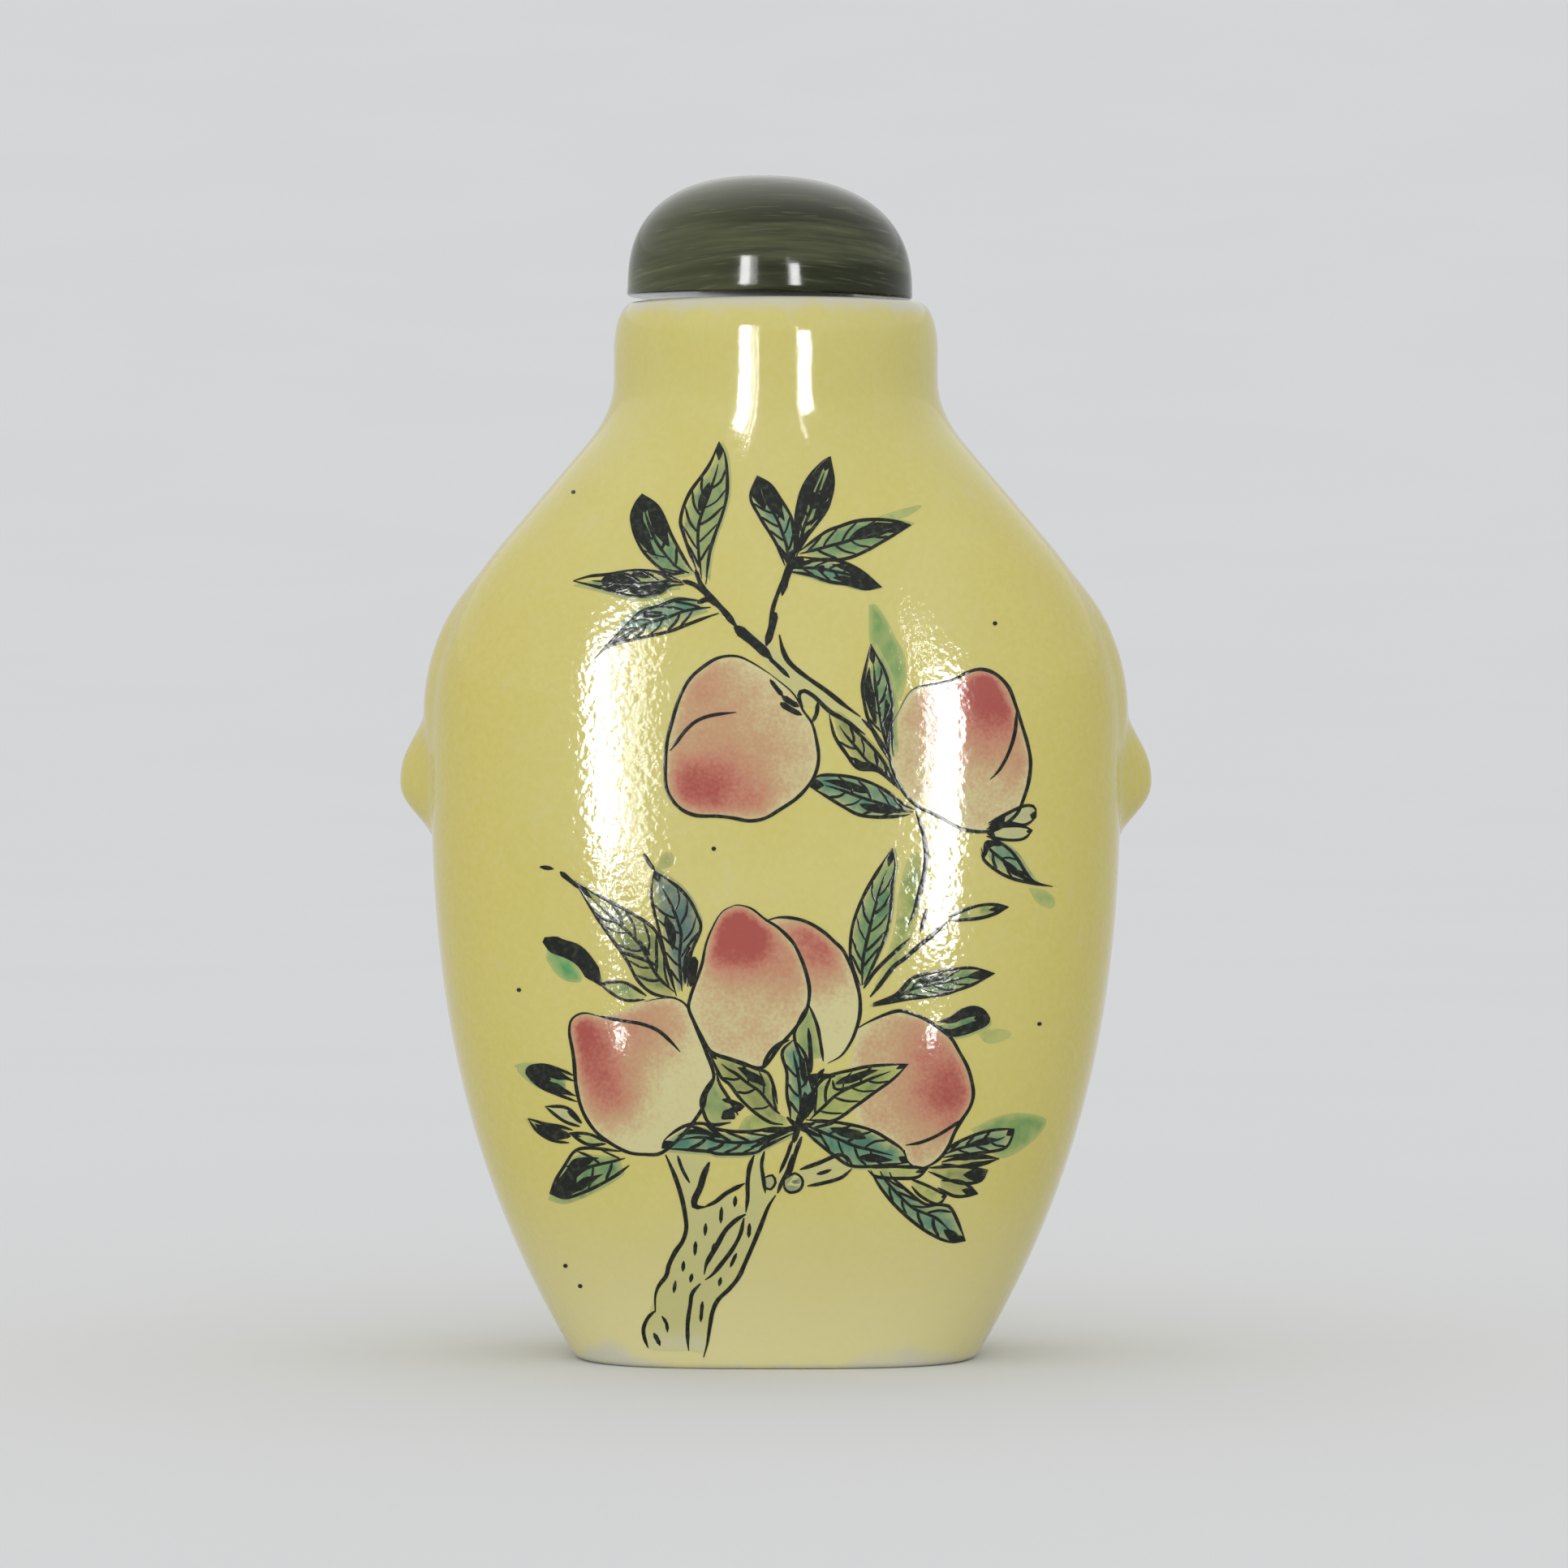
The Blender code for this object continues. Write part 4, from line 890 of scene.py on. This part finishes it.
# Short strokes of the bark: x at the top, top, x at the bottom, bottom.
BARK_DASHES = (
    (-3.75, 8.1, -3.8, 7.4), (-4.3, 7.1, -4.35, 6.3), (-4.95, 6, -5.0, 5.4), (-5.4, 4.9, -5.5, 4.2),
    (-2.9, 9, -2.95, 8.1), (-2.15, 9.6, -2.2, 9), (-1.4, 8.1, -1.45, 7.3), (-2.1, 6.45, -2.45, 5.65),
    (-2.95, 5.1, -3.05, 4.6), (-3.95, 3.75, -4.05, 2.6), (-3.3, 7.0, -3.4, 6.5), (-4.5, 5.3, -4.6, 4.8),
)
SPECKS = ((-11, 47.45), (11.8, 40.3), (-3.3, 28.25), (-13.8, 20.6), (14.2, 18.75), (-11.4, 5.5), (-10.6, 4.4))


def ink_enamel():
    """Near-black enamel, glossy, greenish where a stroke ran thin."""
    material, tree, shader = new_material("ink_enamel_brushed", ior=1.33, roughness=0.12)
    place = add(tree, "ShaderNodeTexCoord", {}).outputs["Object"]
    bristle = add(tree, "ShaderNodeTexNoise", {"Vector": place, "Scale": 1 / (0.3 * MM), "Detail": 2.0})
    thin = add(tree, "ShaderNodeMapRange", {
        "Value": bristle.outputs["Fac"], "From Min": 0.5, "From Max": 0.75, "To Min": 0.0, "To Max": 0.7})
    colour = add(tree, "ShaderNodeMix", {
        0: thin.outputs["Result"], 6: linear("191C17"), 7: linear("3E4436")}, data_type="RGBA")
    tree.links.new(colour.outputs[2], shader.inputs["Base Color"])
    tree.links.new(glaze_skin(tree, place, PEEL_DEPTH), shader.inputs["Normal"])
    return material


def stroke(batch, path, width, back=False):
    """A brush line: it swells in from a point, wavers a little and runs out to a point."""
    last = len(path) - 1
    rows = []
    for k, point in enumerate(path):
        along = (path[min(k + 1, last)] - path[max(k - 1, 0)]).normalized()
        share = k / last
        taper = min(1.0, 0.3 + 5 * share, 0.22 + 4 * (1 - share))
        waver = 1 + 0.22 * noise.noise(Vector((point.x * 1.3, point.y * 1.3, width * 9)))
        half = width / 2 * taper * waver
        side = Vector((-along.y, along.x)) * half
        left, right = point + side, point - side
        corners = ((left, INK_EDGE_RISE), (point, INK_CROWN_RISE), (right, INK_EDGE_RISE),
                   (right, -FILM_SUNK), (left, -FILM_SUNK))
        rows.append([drape(corner.x, corner.y, rise, back) for corner, rise in corners])
    start, sides = len(batch["points"]), 5
    for row in rows:
        batch["points"] += row
    for low in range(start, start + last * sides, sides):
        for k in range(sides):
            after = (k + 1) % sides
            batch["faces"].append((low + k, low + sides + k, low + sides + after, low + after))
    batch["faces"].append(tuple(start + k for k in range(sides)))
    batch["faces"].append(tuple(start + last * sides + k for k in reversed(range(sides))))


def leaf_point(near, far, along, across):
    """A place on a leaf from its shares along and across it."""
    ends = []
    for edge in (near, far):
        at = clamp(along) * (len(edge) - 1)
        low = min(int(at), len(edge) - 2)
        ends.append(edge[low].lerp(edge[low + 1], at - low))
    return ends[0].lerp(ends[1], across)


def dark_touch(near, far, touch):
    """The outline of one dark touch: ragged, pointed, and leaning toward the tip as it leaves the rib."""
    start, stop, low, high = touch
    middle, half = (low + high) / 2, (high - low) / 2
    steps = max(round((stop - start) * len(near) * 1.4), 9)
    sides = ([], [])
    for k in range(steps + 1):
        along = start + (stop - start) * k / steps
        if stop < 1:
            swell = max(math.sin(math.pi * k / steps), 0.0) ** 0.7
        else:
            swell = min(1.0, 2.5 * k / steps + 0.05)
        for side, toward in zip(sides, (-1, 1)):
            ragged = 1 + 0.3 * noise.noise(Vector((near[0].x + along * 9, near[0].y, toward * 3 + middle)))
            across = clamp(middle + toward * half * swell * ragged, 0.01, 0.99)
            lean = VEIN_LEAN * (abs(across - 0.5) - 0.25) * min(1.0, 4 * (1 - along))
            side.append(leaf_point(near, far, along + lean, across))
    return sides[0] + sides[1][::-1]


def vein_paths(near, far, size):
    """Veins that leave the rib by turns left and right and bend toward the tip as they near the edge."""
    count = round(clamp(size / 1.4, 2, 5))
    for k in range(2 * count):
        share = 0.06 + 0.32 * (k + 0.5 * noise.noise(Vector((near[0].x, near[0].y, k)))) / count
        toward = 0.47 if k % 2 else -0.47
        bend = leaf_point(near, far, share + 0.07, 0.5 + 0.55 * toward)
        end = leaf_point(near, far, share + VEIN_LEAN, 0.5 + toward)
        yield curve([leaf_point(near, far, share, 0.5), bend, end])


def draw_leaf(batch, leaf, shift):
    back = shift is not None
    near, far = edges_of(leaf, shift)
    size = (near[0] - near[-1]).length
    for edge in (near, far):
        stroke(batch, edge, LEAF_LINE, back)
    if size > VEINED_LENGTH:
        rib = [leaf_point(near, far, share, 0.5) for share in spread(0.0, 0.86, round(size / 0.22))]
        stroke(batch, rib, RIB_LINE, back)
        for path in vein_paths(near, far, size):
            stroke(batch, path, VEIN_LINE * (1 + 0.5 * noise.noise(Vector((*path[0], 0)))), back)
    for touch in leaf[2]:
        film(batch, dark_touch(near, far, touch), INK_FILL_RISE, back, lambda point, from_edge: {})


ink_front, ink_back = new_batch(), new_batch()
for outline, inked, crease, base, blushes in PEACHES.values():
    stroke(ink_front, curve(outline[:inked]), PEACH_LINE)
    if crease:
        stroke(ink_front, curve(crease), PEACH_LINE)
for width, knots in LINES:
    stroke(ink_front, curve(knots), width)
for x, top, low_x, low in BARK_DASHES:
    stroke(ink_front, curve(((x, top), (low_x, low))), DASH_LINE)
for x, z in SPECKS:
    stroke(ink_front, curve(((x - SPECK_HALF, z), (x + SPECK_HALF, z + 0.03)), 0.06), SPECK_LINE)
for leaf in UPPER_LEAVES + OTHER_LEAVES:
    draw_leaf(ink_front, leaf, None)
for leaf in UPPER_LEAVES:
    draw_leaf(ink_back, leaf, BACK_SHIFT)
outline, inked, crease, base, blushes = PEACHES["upper_left"]
for knots in (outline, crease):
    stroke(ink_back, curve(mirrored(knots, BACK_SHIFT)), PEACH_LINE, True)
for width, knots in LINES[:TWIG_LINES]:
    stroke(ink_back, curve(mirrored(knots, BACK_SHIFT)), width, True)
ink = ink_enamel()
batch_piece("ink_drawing", ink_front, ink)
batch_piece("ink_drawing_back", ink_back, ink)

# Cork plug of the stopper: a short tapered peg cut from bark and glued under the stone cap. It grips the
# bore and holds the stopper in.
cork_low, cork_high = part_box("stopper_cork")
CORK_TOP_RADIUS = (cork_high.x - cork_low.x) / 2 / MM
CORK_TAPER, CORK_BEVEL, CORK_SEGMENTS = 0.25, 0.3, 96


def pared_cork():
    """Pale brown cork: darker pores and growth lines in a soft matt ground."""
    material, tree, shader = new_material("cork_pared", ior=1.45, roughness=0.9)
    place = add(tree, "ShaderNodeTexCoord", {}).outputs["Object"]
    grain = add(tree, "ShaderNodeTexNoise", {"Vector": place, "Scale": 1 / (0.9 * MM), "Detail": 4.0})
    pores = add(tree, "ShaderNodeTexVoronoi", {"Vector": place, "Scale": 1 / (0.7 * MM)})
    open_pore = add(tree, "ShaderNodeMapRange", {
        "Value": pores.outputs["Distance"], "From Min": 0.08, "From Max": 0.3, "To Min": 1.0, "To Max": 0.0})
    ground = add(tree, "ShaderNodeMix", {
        0: grain.outputs["Fac"], 6: linear("9A6B41"), 7: linear("C99C6A")}, data_type="RGBA")
    colour = add(tree, "ShaderNodeMix", {
        0: open_pore.outputs["Result"], 6: ground.outputs[2], 7: linear("4A2E1B")}, data_type="RGBA")
    pitted = add(tree, "ShaderNodeBump", {
        "Height": pores.outputs["Distance"], "Strength": 0.6, "Distance": 0.12 * MM})
    tree.links.new(colour.outputs[2], shader.inputs["Base Color"])
    tree.links.new(pitted.outputs["Normal"], shader.inputs["Normal"])
    return material


def turned_ring(z, radius, wobble=0.0):
    """A round section, with a slight hand-cut unevenness."""
    made = []
    for k in range(CORK_SEGMENTS):
        turn = math.tau * k / CORK_SEGMENTS
        around = Vector((math.cos(turn), math.sin(turn), z / 4))
        r = radius - wobble * (1 + noise.noise(around * 2.5))
        made.append(Vector((r * math.cos(turn), r * math.sin(turn), z)))
    return made


low_z, high_z = cork_low.z / MM, cork_high.z / MM
cork_foot_radius = CORK_TOP_RADIUS - CORK_TAPER - CORK_BEVEL
cork_rings = [turned_ring(low_z, share * cork_foot_radius) for share in (0.1, 0.6, 1.0)]
for z in spread(low_z + CORK_BEVEL, high_z - CORK_BEVEL, 14) + [high_z - CORK_BEVEL]:
    up = (z - low_z) / (high_z - low_z)
    cork_rings.append(turned_ring(z, CORK_TOP_RADIUS - CORK_TAPER * (1 - up), 0.03))
cork_rings += [turned_ring(high_z, share * (CORK_TOP_RADIUS - CORK_BEVEL)) for share in (1.0, 0.6, 0.1)]
points, faces = loft(cork_rings)
cork = piece("stopper_cork_plug", points, faces, pared_cork())
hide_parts("stopper_cork")

# Stone cap of the stopper: a low dome of dark green banded stone, ground by hand a little askew and
# polished. It sits over the mouth with its flat underside just clear of the lip.
CAP_RADIUS, CAP_HEIGHT, CAP_SIDE_HEIGHT, CAP_ROUNDNESS = 7.9, 6.7, 0.5, 2.4
CAP_EDGE_BEVEL, CAP_OFF_AXIS, CAP_LEAN, SEAT_GAP = 0.2, -0.35, -0.3, 0.3
CAP_SLANT = math.radians(0.8)
CAP_SEGMENTS = 160


def cap_point(turn, radius, up):
    """A point of the dome, with faint flats left by the grinding, leaned and slanted as the real one is."""
    lift = clamp(up / CAP_SIDE_HEIGHT)
    facing = Vector((math.cos(turn), math.sin(turn), up / CAP_HEIGHT))
    r = radius * (1 - 0.006 * lift * (1 + noise.noise(facing * 1.7)))
    x, y = r * math.cos(turn) + CAP_LEAN * (up / CAP_HEIGHT) ** 2, r * math.sin(turn)
    along = x * math.cos(CAP_SLANT) + up * math.sin(CAP_SLANT)
    height = up * math.cos(CAP_SLANT) - x * math.sin(CAP_SLANT)
    return Vector((along + CAP_OFF_AXIS, y, LIP_HEIGHT + SEAT_GAP + height))


def cap_rings():
    profile = [(CAP_RADIUS * share, 0.0) for share in (0.03, 0.3, 0.6, 0.85)]
    for turn in spread(0.0, math.pi / 2, 5):
        inset, rise = CAP_EDGE_BEVEL * (1 - math.sin(turn)), CAP_EDGE_BEVEL * (1 - math.cos(turn))
        profile.append((CAP_RADIUS - inset, rise))
    dome = CAP_HEIGHT - CAP_SIDE_HEIGHT
    power = 2 / CAP_ROUNDNESS
    for turn in spread(0.0, math.pi / 2, 52):
        rise = CAP_SIDE_HEIGHT + dome * math.sin(turn) ** power
        profile.append((CAP_RADIUS * math.cos(turn) ** power, rise))
    return [[cap_point(math.tau * k / CAP_SEGMENTS, radius, up) for k in range(CAP_SEGMENTS)]
            for radius, up in profile]


def banded_stone():
    """Polished dark green stone: thin arched bands of olive and near black, painted lighter on the left and
    darker on the right as the light falls, and greyer toward the top, partly wear and partly a painted sheen
    of the light from above.
    """
    material, tree, shader = new_material("green_stone_polished", ior=1.36, roughness=0.16)
    place = add(tree, "ShaderNodeTexCoord", {}).outputs["Object"]
    parts = add(tree, "ShaderNodeSeparateXYZ", {"Vector": place})
    square = add(tree, "ShaderNodeMath", {0: parts.outputs["X"], 1: parts.outputs["X"]}, operation="MULTIPLY")
    arch = add(tree, "ShaderNodeMath", {0: square.outputs["Value"], 1: 16.0, 2: parts.outputs["Z"]},
               operation="MULTIPLY_ADD")
    long_x = add(tree, "ShaderNodeMath", {0: parts.outputs["X"], 1: 0.06}, operation="MULTIPLY")
    long_y = add(tree, "ShaderNodeMath", {0: parts.outputs["Y"], 1: 0.06}, operation="MULTIPLY")
    stretched = add(tree, "ShaderNodeCombineXYZ", {
        "X": long_x.outputs["Value"], "Y": long_y.outputs["Value"], "Z": arch.outputs["Value"]})
    bands = add(tree, "ShaderNodeTexNoise", {
        "Vector": stretched.outputs["Vector"], "Scale": 1 / (0.75 * MM), "Detail": 5.0, "Roughness": 0.62})
    light_band = add(tree, "ShaderNodeMapRange", {
        "Value": bands.outputs["Fac"], "From Min": 0.4, "From Max": 0.75}, interpolation_type="SMOOTHSTEP")
    # Painted light and shade: the stone is made lighter olive on its left and darker on its right, as the
    # light falls on it.
    lit_left_share = add(tree, "ShaderNodeMapRange", {
        "Value": parts.outputs["X"], "From Min": 1 * MM, "From Max": -6 * MM},
        interpolation_type="SMOOTHSTEP")
    dark = add(tree, "ShaderNodeMix", {
        0: lit_left_share.outputs["Result"], 6: linear("22260F"), 7: linear("3E4228")}, data_type="RGBA")
    ground = add(tree, "ShaderNodeMix", {
        0: light_band.outputs["Result"], 6: dark.outputs[2], 7: linear("52573A")}, data_type="RGBA")
    hairs = add(tree, "ShaderNodeTexNoise", {
        "Vector": stretched.outputs["Vector"], "Scale": 1 / (0.16 * MM), "Detail": 3.0})
    hair = add(tree, "ShaderNodeMapRange", {
        "Value": hairs.outputs["Fac"], "From Min": 0.6, "From Max": 0.75, "To Min": 0.0, "To Max": 0.45})
    haired = add(tree, "ShaderNodeMix", {
        0: hair.outputs["Result"], 6: ground.outputs[2], 7: linear("71765A")}, data_type="RGBA")
    # Painted sheen of the light from above, with some wear: the stone turns greyer toward the top of the
    # dome.
    wear_and_sheen = add(tree, "ShaderNodeMapRange", {
        "Value": parts.outputs["Z"], "From Min": 62 * MM, "From Max": 65 * MM, "To Min": 0.0, "To Max": 0.3},
        interpolation_type="SMOOTHSTEP")
    colour = add(tree, "ShaderNodeMix", {
        0: wear_and_sheen.outputs["Result"], 6: haired.outputs[2], 7: linear("9A9C90")}, data_type="RGBA")
    tree.links.new(colour.outputs[2], shader.inputs["Base Color"])
    scuffs = add(tree, "ShaderNodeTexNoise", {"Vector": place, "Scale": 1 / (0.5 * MM), "Detail": 4.0})
    gloss = add(tree, "ShaderNodeMapRange", {"Value": scuffs.outputs["Fac"], "To Min": 0.05, "To Max": 0.17})
    skin = add(tree, "ShaderNodeBump", {
        "Height": bands.outputs["Fac"], "Strength": 0.5, "Distance": 0.01 * MM})
    tree.links.new(gloss.outputs["Result"], shader.inputs["Roughness"])
    tree.links.new(skin.outputs["Normal"], shader.inputs["Normal"])
    return material


points, faces = loft(cap_rings())
cap = piece("stopper_cap_stone", points, faces, banded_stone())
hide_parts("stopper_cap")

# Studio: a pale bowl of paper that turns up all round, an even sky, two tall windows beside the camera that
# only the gloss sees, and a low soft light in front that doesn't reach the paper.
PAPER_FLAT, PAPER_REACH, PAPER_RISE, PAPER_SIDES = 500, 3200, 8000, 96
SKY_GLOW, WINDOW_DISTANCE, WINDOW_GLOW = 0.97, 420, 34.0
GLINT_PLACE, GLINT_TARGET, GLINT_WIDTH, GLINT_HEIGHT = (40, -96, 4.5), (8.5, -12, 17.7), 4.0, 3.0
FILL_PLACE, FILL_TARGET, FILL_WIDTH, FILL_HEIGHT, FILL_GLOW = (-230, -770, 75), (0, 0, 36), 900, 90, 7.3
# Each window pane: degrees to the right of the view, degrees wide, its low edge and its high edge.
PANES = (
    (-21.2, 8.0, 52, 205), (-20.6, 1.4, 4, 52), (-15.4, 0.7, 30, 205), (-12.8, 0.6, 30, 205),
    (20.6, 8.0, 4, 165), (15.4, 0.5, 4, 205),
)
CAMERA_PLACE, CAMERA_PITCH, CAMERA_LENS = (0.45, -370, 39), 1.166, 153.7


def paper_bowl():
    """The paper, without the two faces that close a loft at its ends."""
    profile = [(0.001, 0.0), (PAPER_FLAT / 2, 0.0)]
    profile += [(r, (r - PAPER_FLAT) ** 2 / PAPER_RISE) for r in spread(PAPER_FLAT, PAPER_REACH, 24)]
    turns = [math.tau * k / PAPER_SIDES for k in range(PAPER_SIDES)]
    rings = [[Vector((r * math.cos(turn), r * math.sin(turn), z)) for turn in turns] for r, z in profile]
    points, faces = loft(rings)
    open_faces = faces[:-2]
    mesh = bpy.data.meshes.new("paper")
    mesh.from_pydata([point * MM for point in points], [], open_faces)
    mesh.shade_smooth()
    material, tree, shader = new_material("paper_matt", ior=1.45, roughness=0.95)
    place = add(tree, "ShaderNodeTexCoord", {}).outputs["Object"]
    fibre = add(tree, "ShaderNodeTexNoise", {"Vector": place, "Scale": 1 / (60 * MM), "Detail": 2.0})
    shade = add(tree, "ShaderNodeMix", {
        0: fibre.outputs["Fac"], 6: linear("DEDFE0"), 7: linear("E1E2E3")}, data_type="RGBA")
    tree.links.new(shade.outputs[2], shader.inputs["Base Color"])
    shader.inputs["Specular IOR Level"].default_value = 0.0
    mesh.materials.append(material)
    made = bpy.data.objects.new("paper_bowl", mesh)
    bpy.context.scene.collection.objects.link(made)
    made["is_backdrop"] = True
    return made


def soft_light(name, place, target, width, height, glow, in_gloss):
    """A bright rectangle, unseen by the camera, that shows only in the gloss or only on matt surfaces."""
    data = bpy.data.lights.new(name, "AREA")
    data.shape = "RECTANGLE"
    data.size, data.size_y = width * MM, height * MM
    data.energy = glow * math.pi * data.size * data.size_y
    made = bpy.data.objects.new(name, data)
    made.location = Vector(place) * MM
    made.rotation_euler = (Vector(target) - Vector(place)).to_track_quat("-Z", "Y").to_euler()
    made.visible_camera = False
    made.visible_diffuse = not in_gloss
    made.visible_glossy = in_gloss
    bpy.context.scene.collection.objects.link(made)
    return made


paper = paper_bowl()
for degrees, breadth, low, high in PANES:
    azimuth, middle = math.radians(degrees), (low + high) / 2
    place = (WINDOW_DISTANCE * math.sin(azimuth), -WINDOW_DISTANCE * math.cos(azimuth), middle)
    pane_width = WINDOW_DISTANCE * math.radians(breadth)
    soft_light("window", place, (0, 0, middle), pane_width, high - low, WINDOW_GLOW, True)
for side in (-1, 1):
    mirror = Vector((side, 1, 1))
    place, target = Vector(GLINT_PLACE) * mirror, Vector(GLINT_TARGET) * mirror
    soft_light("low_glint", place, target, GLINT_WIDTH, GLINT_HEIGHT, WINDOW_GLOW, True)

fill = soft_light("front_fill", FILL_PLACE, FILL_TARGET, FILL_WIDTH, FILL_HEIGHT, FILL_GLOW, False)
spared = bpy.data.collections.new("spared_by_front_fill")
spared.objects.link(paper)
spared.collection_objects[0].light_linking.link_state = "EXCLUDE"
fill.light_linking.receiver_collection = spared

world = bpy.data.worlds.new("studio")
world.use_nodes = True
world.node_tree.nodes["Background"].inputs["Color"].default_value = linear("F8F8F8")
world.node_tree.nodes["Background"].inputs["Strength"].default_value = SKY_GLOW
bpy.context.scene.world = world
bpy.context.scene.view_settings.view_transform = "Standard"

lens = bpy.data.cameras.new("camera")
lens.lens, lens.sensor_width, lens.clip_end = CAMERA_LENS, 36, 10
camera = bpy.data.objects.new("camera", lens)
camera.location = Vector(CAMERA_PLACE) * MM
camera.rotation_euler = (math.pi / 2 - math.radians(CAMERA_PITCH), 0, 0)
bpy.context.scene.collection.objects.link(camera)
bpy.context.scene.camera = camera

[[list(corner) for corner in box] for box in (cad_box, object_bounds())]
